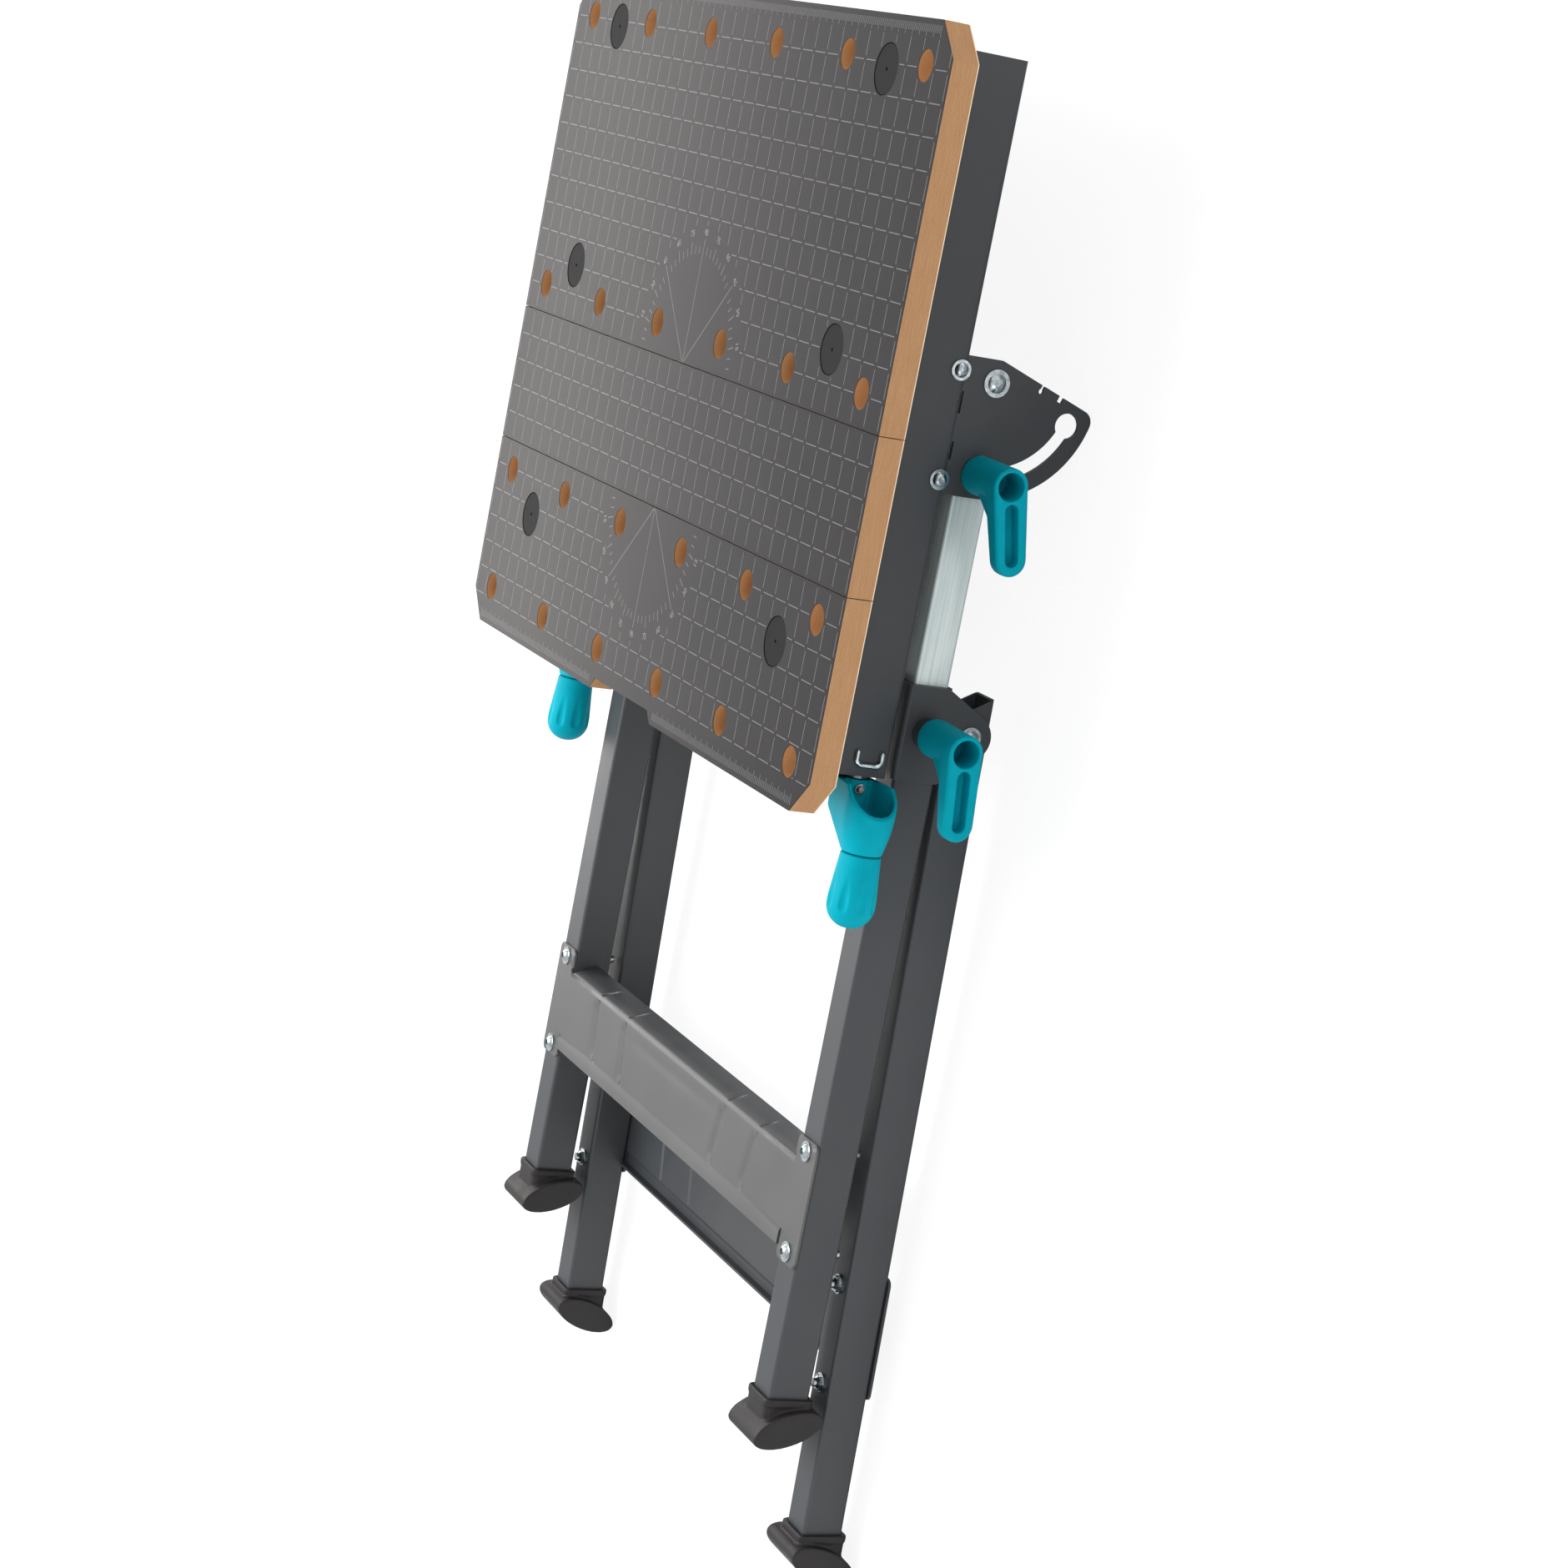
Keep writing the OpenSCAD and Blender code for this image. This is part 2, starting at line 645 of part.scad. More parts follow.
module jaw_carriage_left() bench() color("#2b2b2d") on_side(-1) jaw_carriage();
module jaw_carriage_right() bench() color("#2b2b2d") on_side(1) jaw_carriage();

spindle_over = 26;
spindle_from = carriage_y - spindle_over;
spindle_into = 20;
spindle_tip = 1.5;
crank_clear = 3.2;
crank_y = rail_end + crank_clear;

module spindle() translate([spindle_x, 0, spindle_z]) {
  translate([0, spindle_from, 0]) to_y()
    cylinder(r1 = spindle_d / 2 - spindle_tip, r2 = spindle_d / 2, h = spindle_tip);
  rod_y(spindle_d / 2, spindle_from + spindle_tip, crank_y + spindle_into);
  rod_y(collar_d / 2, bearing_y + cut, clip_y - groove_w / 2);
  rod_y(collar_d / 2, clip_y + groove_w / 2, crank_y - run_gap);
}

module spindle_left() bench() color("#b9c0c2") on_side(-1) spindle();
module spindle_right() bench() color("#b9c0c2") on_side(1) spindle();

// Crank: a hub on the spindle, a hollow cup whose rim is cut obliquely, and a spigot
hub_r = 13.5;
hub_l = 24;
hub_round = 3;
cup_wall = 2.6;
cup_top_l = 19;
cup_low_l = 29;
cup_low_r = 16.2;
rim_in = 4;
rim_low = 18;
floor_t = 8;
spigot_r = 6;
spigot_l = 36;
crank_screw_y = 6;
cup_rib_t = 1.8;
cup_rib_h = 6;

module crank_shell() hull() {
  rod_y(hub_r, 0, hub_l - hub_round);
  rod_y(hub_r - hub_round, hub_l - hub_round, hub_l);
  translate([crank_arm, 0, 0]) {
    rod_y(cup_r, 0, cup_top_l);
    rod_y(cup_low_r, cup_top_l, cup_low_l);
    rod_y(seam_r, cup_low_l, crank_l);
  }
}

module crank() translate([spindle_x, crank_y, spindle_z]) difference() {
  union() {
    difference() {
      crank_shell();
      crank_hollow();
      crank_rim_cut();
    }
    rod_y(hub_r - cup_wall, 0, hub_l);
    // rib on the far wall of the cup
    box(crank_arm - cup_rib_t / 2, crank_arm + cup_rib_t / 2, rim_low, crank_l - floor_t,
      cup_low_r - cup_rib_h, cup_low_r - cup_wall / 2);
    translate([crank_arm, 0, 0]) rod_y(spigot_r, crank_l - floor_t / 2, crank_l + spigot_l);
  }
  rod_y(spindle_d / 2 + fit, -cut, spindle_into + fit);
  translate([0, crank_screw_y, 0]) rod_x(crank_screw_r + fit, 0, hub_r + cut);
}

crank_screw_r = 2;
crank_screw_head_r = 3.6;

// Hollow of the cup, open towards the rail
module crank_hollow() hull() {
  translate([hub_r, -cut, 0]) to_y() cylinder(r = hub_r - cup_wall, h = hub_l - cup_wall);
  translate([crank_arm, 0, 0]) {
    rod_y(cup_r - cup_wall, -cut, cup_top_l);
    rod_y(cup_low_r - cup_wall, cup_top_l, cup_low_l);
    rod_y(seam_r - cup_wall, cup_low_l, crank_l - floor_t);
  }
}

// The rim is cut obliquely and falls towards the outer side
module crank_rim_cut() {
  x0 = crank_arm - rim_in;
  x1 = crank_arm + cup_r + cut;
  translate([0, 0, -cup_r - cut]) linear_extrude(2 * (cup_r + cut))
    polygon([[x0, -cut], [x1, -cut], [x1, rim_low + cut], [x0, 0]]);
}

module crank_left() bench() color("#00a5b5") on_side(-1) crank();
module crank_right() bench() color("#00a5b5") on_side(1) crank();

module crank_screw() translate([spindle_x, crank_y + crank_screw_y, spindle_z]) {
  rod_x(crank_screw_r, spindle_d / 2 + run_gap, hub_r + cut);
  rod_x(crank_screw_head_r, hub_r - cup_wall, hub_r - cup_wall + flange_h);
}

module crank_screw_left() bench() color("#b9c0c2") on_side(-1) crank_screw();
module crank_screw_right() bench() color("#b9c0c2") on_side(1) crank_screw();

// Grip: a turned body with a round end and shallow flutes, free to spin on the spigot
grip_gap = 0.6;
flute_n = 8;
flute_r = 5;
flute_depth = 1.5;
flute_share = 0.24;
grip_mid_share = 0.6;
grip_end_r = 15;

module grip() translate([spindle_x + crank_arm, crank_y + crank_l + grip_gap, spindle_z]) difference() {
  mid = grip_l * grip_mid_share;
  to_y() rotate_extrude() {
    polygon([[0, 0], [seam_r, 0], [grip_r, mid], [grip_r, grip_l - grip_end_r], [0, grip_l - grip_end_r]]);
    translate([0, grip_l - grip_end_r]) intersection() {
      union() {
        translate([grip_r - grip_end_r, 0]) circle(grip_end_r);
        translate([0, -cut]) square([grip_r - grip_end_r, grip_end_r + cut]);
      }
      translate([0, -cut]) square([grip_r, grip_end_r + cut]);
    }
  }
  rod_y(spigot_r + fit, -cut, spigot_l + run_gap);
  for (i = [0:flute_n - 1]) rotate([0, i * 360 / flute_n, 0])
    translate([grip_r + flute_r - flute_depth, 0, 0]) {
      rod_y(flute_r, grip_l * flute_share, grip_l - grip_end_r);
      for (y = [grip_l * flute_share, grip_l - grip_end_r]) translate([0, y, 0]) sphere(flute_r);
    }
}

module grip_left() bench() color("#00a5b5") on_side(-1) grip();
module grip_right() bench() color("#00a5b5") on_side(1) grip();

// Masts

mast_round = 2;
shoe_l = 24;
shoe_lip = 3;
mast_end = tread_y - tread_pitch / 2 - screw_r - shoe_lip - mast_clear;
mast_l = mast_end - mast_top;

// Square tube section about its middle
module tube_section(w, d, t, r) difference() {
  rounded_rect(w, d, r);
  rounded_rect(w - 2 * t, d - 2 * t, max(r - t, r / 4));
}

module rounded_rect(w, d, r) {
  square([w - 2 * r, d], center = true);
  square([w, d - 2 * r], center = true);
  for (i = sides, j = sides) translate([i * (w / 2 - r), j * (d / 2 - r)]) circle(r);
}

module mast() difference() {
  translate([leg_mid_x, mast_top, mast_z]) along_y(mast_l)
    tube_section(mast_w, mast_d, mast_wall, mast_round);
  for (y = [pivot_y, clamp_y]) translate([0, y, mast_z])
    rod_x(bolt_r + fit, mast_in_x - cut, mast_x + cut);
}

module mast_left() bench() color("#b8c4c4") on_side(-1) mast();
module mast_right() bench() color("#b8c4c4") on_side(1) mast();

// Plastic shoes in the lower ends of the masts; their lips run in the leg tubes
module mast_shoes() bench() color("#2b2b2d")
  for (s = sides) on_side(s) translate([leg_mid_x, mast_end, mast_z]) difference() {
    union() {
      translate([0, -shoe_l, 0]) along_y(shoe_l)
        rounded_rect(mast_w - 2 * (mast_wall + fit), mast_d - 2 * (mast_wall + fit), mast_round);
      along_y(shoe_lip) rounded_rect(leg_w - 2 * (leg_wall + run_gap), leg_d - 2 * (leg_wall + run_gap), mast_round);
    }
    translate([0, -shoe_l - cut, 0]) along_y(shoe_l) rounded_rect(mast_w / 2, mast_d / 2, mast_round);
  }

module tilt_pivot_bolts() bench() color("#b9c0c2")
  for (s = sides) on_side(s) translate([plate_x, pivot_y, mast_z])
    to_x() dome_screw(pivot_head_d, bolt_d, plate_x - mast_in_x + bolt_nut_h);

module tilt_pivot_nuts() bench() color("#b9c0c2")
  for (s = sides) on_side(s) translate([mast_in_x, pivot_y, mast_z])
    to_in() dome_nut(bolt_nut_af, bolt_nut_h, bolt_d);

// Clamp bolts: a flat head inside, the shank through mast, pad, slot and washer into the lever
clamp_head_r = 8;
clamp_head_t = 3.5;
recess_d = 26;            // round recess in a lever's outer end
clamp_bolt_end = 0.5;
clamp_bolt_out = lever_l - recess_d + clamp_bolt_end;
lever_x = plate_x + washer_t;

module tilt_clamp_bolts() bench() color("#b9c0c2")
  for (s = sides) on_side(s) translate([0, clamp_y, mast_z]) {
    rod_x(clamp_head_r, mast_in_x - clamp_head_t, mast_in_x);
    rod_x(bolt_r, mast_in_x, lever_x + clamp_bolt_out);
  }

// Plastic pads between masts and tilt plates, steel washers under the tilt levers
pad_r = 10;
module mast_washers() bench() color("#c3c9ca")
  for (s = sides) on_side(s) {
    for (y = [pivot_y, clamp_y]) translate([0, y, mast_z]) difference() {
      rod_x(pad_r, mast_x, plate_in_x - fit);
      rod_x(bolt_r + fit, mast_x - cut, plate_in_x + cut);
    }
    translate([0, clamp_y, mast_z]) difference() {
      rod_x(lever_r, plate_x + fit, lever_x);
      rod_x(bolt_r + fit, plate_x - cut, lever_x + cut);
    }
  }

// Clamp lever: a tapered hub along x with a recessed outer end, and a slotted arm along y
recess_r = 9;
slot_half = 4.4;
slot_from = 15.5;
slot_deep = 11;
lever_round = 1.6;
lever_neck_share = 0.62;
lever_end_share = 0.95;

module lever_body() {
  end_r = lever_r * lever_end_share;
  neck = lever_l * lever_neck_share;
  rod_x(lever_r, 0, lever_round);
  hull() {
    rod_x(lever_r, lever_round, lever_round + cut);
    rod_x(end_r, lever_l - lever_round, lever_l - lever_round + cut / 2);
    rod_x(end_r - lever_round, lever_l - lever_round, lever_l);
  }
  hull() {
    rod_x(end_r, lever_l - lever_arm_t - lever_round, lever_l - lever_round);
    rod_x(end_r - lever_round, lever_l - lever_round, lever_l);
    translate([0, lever_arm, 0]) {
      rod_x(lever_tip_r - lever_round, lever_l - lever_arm_t, lever_l - lever_round);
      rod_x(lever_tip_r, lever_l - lever_arm_t + lever_round, lever_l - 2 * lever_round);
    }
  }
  // web between the hub and the arm
  hull() {
    rod_x(end_r - lever_round, neck / 2, lever_l - lever_arm_t);
    translate([0, lever_arm / 2, 0])
      rod_x(lever_tip_r - lever_round, lever_l - lever_arm_t, lever_l - lever_arm_t + lever_round);
  }
}

module clamp_lever(hole_r, hole_l, lean) rotate([lean, 0, 0]) difference() {
  lever_body();
  rod_x(recess_r, lever_l - recess_d, lever_l + cut);
  hull() for (y = [slot_from, lever_arm])
    translate([0, y, 0]) rod_x(slot_half, lever_l - slot_deep, lever_l + cut);
  rod_x(hole_r + fit, -cut, hole_l + fit);
}

module tilt_lever() translate([lever_x, clamp_y, mast_z])
  clamp_lever(bolt_r, clamp_bolt_out, tilt_lever_lean);
module tilt_lever_left() bench() color("#00a5b5") on_side(-1) tilt_lever();
module tilt_lever_right() bench() color("#00a5b5") on_side(1) tilt_lever();

// Height clamps: a threaded boss on the bracket, a stud that presses on the mast
stud_r = 5;
stud_end_wall = 1.5;
stud_in_lever = lever_l - recess_d - stud_end_wall;
height_lever_x = bracket_x + boss_l;

module height_lever() translate([height_lever_x + fit, leg_pivot_y, mast_z])
  clamp_lever(stud_r, stud_in_lever, height_lever_lean);
module height_lever_left() bench() color("#00a5b5") on_side(-1) height_lever();
module height_lever_right() bench() color("#00a5b5") on_side(1) height_lever();

module height_stud() translate([0, leg_pivot_y, mast_z])
  rod_x(stud_r, mast_x + run_gap, height_lever_x + stud_in_lever);
module height_stud_left() bench() color("#b9c0c2") on_side(-1) height_stud();
module height_stud_right() bench() color("#b9c0c2") on_side(1) height_stud();

module height_bosses() bench() color("#3c3f43")
  for (s = sides) on_side(s) translate([0, leg_pivot_y, mast_z]) difference() {
    rod_x(boss_d / 2, bracket_x, bracket_x + boss_l);
    rod_x(stud_r + fit, bracket_x - cut, bracket_x + boss_l + cut);
  }

// Front legs with their head brackets

leg_round = 2.5;

module tread_screw_holes(y0, z0, z1)
  for (d = [-tread_pitch / 2, tread_pitch / 2])
    translate([leg_mid_x, y0 + d, z0 - cut]) cylinder(r = screw_r + fit, h = z1 - z0 + 2 * cut);

module front_leg() difference() {
  translate([leg_mid_x, head_y, mast_z]) along_y(front_leg_l)
    tube_section(leg_w, leg_d, leg_wall, leg_round);
  translate([0, leg_pivot_y, mast_z]) rod_x(stud_r + fit, leg_mid_x, leg_x + cut);
  tread_screw_holes(tread_y, leg_z, leg_back);
}

module front_leg_left() bench() color("#4c4f53") on_side(-1) front_leg();
module front_leg_right() bench() color("#4c4f53") on_side(1) front_leg();

// Bracket: a channel around the front leg whose two cheeks carry the leg pivot
cheek_r = 15.4;
bracket_step = 3.5;
module bracket_cheek() hull() {
  polygon([[head_y, leg_z], [head_y, leg_back - bracket_step],
    [head_y + bracket_h, leg_back], [head_y + bracket_h, leg_z]]);
  translate([leg_pivot_y, leg_pivot_z]) circle(cheek_r);
}

module head_bracket() {
  difference() {
    union() {
      for (x = [leg_in_x - bracket_t, leg_x]) translate([x, 0, 0]) along_x(bracket_t) bracket_cheek();
      // face of the channel with its two bends
      translate([leg_mid_x, head_y, 0]) along_y(bracket_h) difference() {
        translate([0, leg_z + leg_round]) rounded_rect(leg_w + 2 * bracket_t,
          2 * (bracket_t + leg_round), leg_round + bracket_t / 2);
        translate([-leg_w, leg_z + leg_round]) square([2 * leg_w, 2 * leg_d]);
        translate([0, mast_z]) rounded_rect(leg_w, leg_d, leg_round);
      }
    }
    translate([0, leg_pivot_y, mast_z]) rod_x(stud_r + fit, leg_mid_x, leg_x + bracket_t + cut);
    translate([0, leg_pivot_y, leg_pivot_z])
      rod_x(bolt_r + fit, leg_in_x - bracket_t - cut, leg_x + bracket_t + cut);
    translate([leg_mid_x, head_y - cut, mast_z]) along_y(bracket_h + 2 * cut)
      rounded_rect(leg_w, leg_d, leg_round);
  }
}

module head_bracket_left() bench() color("#45484c") on_side(-1) head_bracket();
module head_bracket_right() bench() color("#45484c") on_side(1) head_bracket();

// Thin sleeves that guide the masts in the heads of the front legs
guide_l = 45;
module mast_guides() bench() color("#2b2b2d")
  for (s = sides) on_side(s) difference() {
    translate([leg_mid_x, head_y, mast_z]) along_y(guide_l)
      tube_section(leg_w - 2 * leg_wall - fit, leg_d - 2 * leg_wall - fit, guide_t, mast_round);
    translate([0, leg_pivot_y, mast_z]) rod_x(stud_r + fit, leg_mid_x, leg_x);
  }

// Leg pivots
leg_fit_x = 0.3;
rear_leg_w = leg_w - 2 * leg_fit_x;

module leg_pivot_bolts() bench() color("#b9c0c2")
  for (s = sides) on_side(s) translate([bracket_x, leg_pivot_y, leg_pivot_z])
    to_x() dome_screw(leg_head_d, bolt_d, leg_w + 2 * bracket_t + bolt_nut_h);

module front_frame_nuts() bench() color("#b9c0c2")
  for (s = sides) on_side(s) {
    translate([leg_in_x - bracket_t, leg_pivot_y, leg_pivot_z])
      to_in() dome_nut(bolt_nut_af, bolt_nut_h, bolt_d);
    for (d = [-tread_pitch / 2, tread_pitch / 2])
      translate([leg_mid_x, tread_y + d, leg_back]) dome_nut(nut_af, nut_h, screw_d);
  }

// Treads: a stamped sheet, drawn with its middle at the origin and its back on z = 0

tread_over = 1;
tread_lap = 1;
tread_x = leg_x + tread_over;
tread_short = 1.5;
tread_mid_x = leg_in_x - tread_short;
tread_low = 35;          // lower edge of the face below the tread's middle
tread_rise = 18;         // slope of the top flange
tread_corner = 5;
bend_r = 5;
bend_n = 8;
sill_h = 8.5;            // strip along the lower edge that stands forward
sill_step = 1;
sill_slope = 2.5;
hem = 5;
crease_xs = [97, 154];   // creases pressed into the face and the top bend
crease_in = 8;
crease_w = 4.2;
crease_d = 1;
crease_top_l = 9;
relief_r = 2;
slit_w = 1.6;
slit_l = 11;
thread_over = 1.5;

tread_top = tread_low - tread_face_h;
sill_top = tread_low - sill_h - sill_slope;
crease_l = sill_top - tread_top - bend_r;

// Points (y, z) along one side of the sheet: sill, face, top bend of radius r, sloping flange
function tread_side(r) = concat(
  [[tread_low, bend_r - tread_t - r - sill_step], [tread_low - sill_h, bend_r - tread_t - r - sill_step],
    [sill_top, bend_r - tread_t - r]],
  [for (i = [0:bend_n]) let (a = 270 - (90 - tread_rise) * i / bend_n)
    [tread_top + bend_r + r * cos(a), bend_r - tread_t + r * sin(a)]],
  [[tread_top + bend_r - r * cos(tread_rise) - tread_flange * sin(tread_rise),
    bend_r - tread_t - r * sin(tread_rise) + tread_flange * cos(tread_rise)]]);

function backwards(list) = [for (i = [1:len(list)]) list[len(list) - i]];

module tread_profile()
  polygon(concat(tread_side(bend_r), backwards(tread_side(bend_r - tread_t))));

// A wedge along y whose edge points to the back, from the front side of the sheet
module crease_groove(l) translate([0, l, -tread_t]) rotate([90, 0, 0]) linear_extrude(l)
  polygon([[-crease_w / 2 - cut, -cut], [crease_w / 2 + cut, -cut], [crease_w / 2, 0], [0, crease_d], [-crease_w / 2, 0]]);

module crease_ridge(l) translate([0, l, 0]) rotate([90, 0, 0]) linear_extrude(l)
  polygon([[-crease_w / 2, -crease_d / 2], [crease_w / 2, -crease_d / 2], [crease_w / 2, 0], [0, crease_d], [-crease_w / 2, 0]]);

// Places a crease of the face; its lower end lies nearer to the middle
module at_crease(x)
  translate([x, tread_top + bend_r, 0]) rotate(asin(crease_in / crease_l)) children();

module tread() difference() {
  union() {
    for (s = sides) translate([s * (tread_x + tread_mid_x) / 2, 0, -tread_t]) linear_extrude(tread_t)
      rounded_rect(tread_x - tread_mid_x, tread_end_h, tread_corner);
    translate([-tread_mid_x - tread_lap, 0, 0]) along_x(2 * (tread_mid_x + tread_lap)) tread_profile();
    // hem along the lower edge
    box(-tread_mid_x, tread_mid_x, tread_low - tread_t, tread_low, -tread_t - sill_step, hem);
    for (s = sides, x = crease_xs) on_side(s) at_crease(x) crease_ridge(crease_l);
  }
  for (s = sides, x = crease_xs) on_side(s) {
    at_crease(x) crease_groove(crease_l);
    // short crease over the top bend
    translate([x, tread_top + bend_r, bend_r - tread_t]) rotate([tread_rise - 90, 0, 0])
      translate([0, -crease_top_l, tread_t - bend_r]) crease_groove(crease_top_l + crease_w / 2);
  }
  for (s = sides) {
    for (d = [-tread_pitch / 2, tread_pitch / 2])
      translate([s * leg_mid_x, d, -tread_t - cut]) cylinder(r = screw_r + fit, h = tread_t + 2 * cut);
    // round relief beside the top bend and a slit beside the hem
    translate([s * tread_mid_x, tread_top, -2 * bend_r]) cylinder(r = relief_r, h = 4 * bend_r);
    translate([s * (tread_mid_x + tread_lap - slit_w / 2), 0, 0])
      box(-slit_w / 2, slit_w / 2, tread_low - slit_l, tread_low + cut, -tread_t - sill_step - cut, hem + cut);
  }
}

module front_tread() bench() color("#4c4f53") translate([0, tread_y, leg_z]) tread();

module front_tread_screws() bench() color("#b9c0c2")
  for (s = sides, d = [-tread_pitch / 2, tread_pitch / 2])
    translate([s * leg_mid_x, tread_y + d, leg_z - tread_t]) to_face()
      dome_screw(tread_head_d, screw_d, tread_t + leg_d + nut_h + thread_over);

foot_lip = 0.7;
foot_lip_h = 5;

// Foot: a lipped collar around the leg's end and an oval round across the bench, sloping by slope
module foot(slope) {
  collar_w = leg_w + 2 * foot_wall;
  collar_d = leg_d + 2 * foot_wall;
  steps = 48;
  difference() {
    union() {
      along_y(foot_lip_h) rounded_rect(collar_w + 2 * foot_lip, collar_d + 2 * foot_lip, leg_round + foot_wall);
      difference() {
        along_y(foot_drop + foot_a) rounded_rect(collar_w, collar_d, leg_round + foot_wall);
        translate([-collar_w, foot_drop, 0]) rotate([slope, 0, 0])
          translate([0, 0, -2 * foot_a]) cube([2 * collar_w, 2 * foot_a, 4 * foot_a]);
      }
      translate([-foot_l / 2, foot_drop, 0]) rotate([slope, 0, 0]) along_x(foot_l)
        polygon([for (i = [0:steps - 1]) let (a = 360 * i / steps) [foot_b * cos(a), foot_a * sin(a)]]);
    }
    translate([0, -cut, 0]) along_y(foot_socket + cut) rounded_rect(leg_w, leg_d, leg_round);
  }
}

module front_foot() translate([leg_mid_x, front_leg_end - foot_socket, mast_z]) foot(foot_slope);
module front_foot_left() bench() color("#2e2a2a") on_side(-1) front_foot();
module front_foot_right() bench() color("#2e2a2a") on_side(1) front_foot();

// Rear frame, drawn upright behind the front legs and leaned about the leg pivot
module rear_lean() translate([0, leg_pivot_y, leg_pivot_z]) rotate([fold_lean, 0, 0])
  translate([0, -leg_pivot_y, -leg_pivot_z]) children();

mitre = 28.4;
mitre_gap = 16;
rear_leg_z = leg_pivot_z - leg_d / 2;
rear_leg_back = leg_pivot_z + leg_d / 2;
top_clear = 1.1;
top_r = pivot_back - top_clear;

module rear_leg() difference() {
  translate([leg_mid_x, leg_pivot_y - 2 * leg_d, leg_pivot_z]) along_y(rear_leg_l + 2 * leg_d)
    tube_section(rear_leg_w, leg_d, leg_wall, leg_round);
  // mitred top that stops against the front leg when the legs are spread
  translate([0, leg_pivot_y, leg_pivot_z]) {
    rotate([mitre, 0, 0]) box(leg_in_x - cut, leg_x + cut, -4 * leg_d, -mitre_gap, -3 * leg_d, 3 * leg_d);
    // rounded front corner that clears the front leg
    difference() {
      box(leg_in_x - cut, leg_x + cut, -2 * leg_d, 0, -leg_d, 0);
      rod_x(top_r, leg_in_x - 2 * cut, leg_x + 2 * cut);
    }
    rod_x(bolt_r + fit, leg_in_x - cut, leg_x + cut);
  }
  tread_screw_holes(rear_tread_y, rear_leg_z, rear_leg_back);
}

module rear_leg_left() bench() color("#3f4246") on_side(-1) rear_lean() rear_leg();
module rear_leg_right() bench() color("#3f4246") on_side(1) rear_lean() rear_leg();

module rear_tread() bench() color("#3f4246") rear_lean()
  translate([0, rear_tread_y, rear_leg_back]) mirror([0, 0, 1]) tread();

module rear_tread_screws() bench() color("#b9c0c2") rear_lean()
  for (s = sides, d = [-tread_pitch / 2, tread_pitch / 2])
    translate([s * leg_mid_x, rear_tread_y + d, rear_leg_back + tread_t])
      dome_screw(tread_head_d, screw_d, tread_t + leg_d + nut_h + thread_over);

module rear_tread_nuts() bench() color("#b9c0c2") rear_lean()
  for (s = sides, d = [-tread_pitch / 2, tread_pitch / 2])
    translate([s * leg_mid_x, rear_tread_y + d, rear_leg_z]) to_face() dome_nut(nut_af, nut_h, screw_d);

module rear_foot() rear_lean() translate([leg_mid_x, rear_leg_end - foot_socket, leg_pivot_z])
  foot(-foot_slope);
module rear_foot_left() bench() color("#2e2a2a") on_side(-1) rear_foot();
module rear_foot_right() bench() color("#2e2a2a") on_side(1) rear_foot();

rear_jaw_board();
rear_board_caps();
rear_board_bolts();
rail_left();
rail_right();
cross_rail();
tilt_plate_left();
tilt_plate_right();
tilt_plate_screws();
tilt_plate_nuts();
spindle_clips();
spindle_bearings();
middle_panel();
panel_pegs();
front_jaw_board();
front_board_caps();
front_board_bolts();
jaw_carriage_left();
jaw_carriage_right();
spindle_left();
spindle_right();
crank_left();
crank_right();
crank_screw_left();
crank_screw_right();
grip_left();
grip_right();
mast_left();
mast_right();
mast_shoes();
tilt_pivot_bolts();
tilt_pivot_nuts();
tilt_clamp_bolts();
mast_washers();
tilt_lever_left();
tilt_lever_right();
height_lever_left();
height_lever_right();
height_stud_left();
height_stud_right();
front_leg_left();
front_leg_right();
head_bracket_left();
head_bracket_right();
mast_guides();
height_bosses();
front_tread();
front_tread_screws();
front_frame_nuts();
leg_pivot_bolts();
front_foot_left();
front_foot_right();
rear_leg_left();
rear_leg_right();
rear_tread();
rear_tread_screws();
rear_tread_nuts();
rear_foot_left();
rear_foot_right();
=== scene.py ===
# Looks of the folding workbench: printed boards, painted steel, zinc, teal plastic and rubber
import json
import math

import bmesh
import bpy
from mathutils import Matrix, Vector

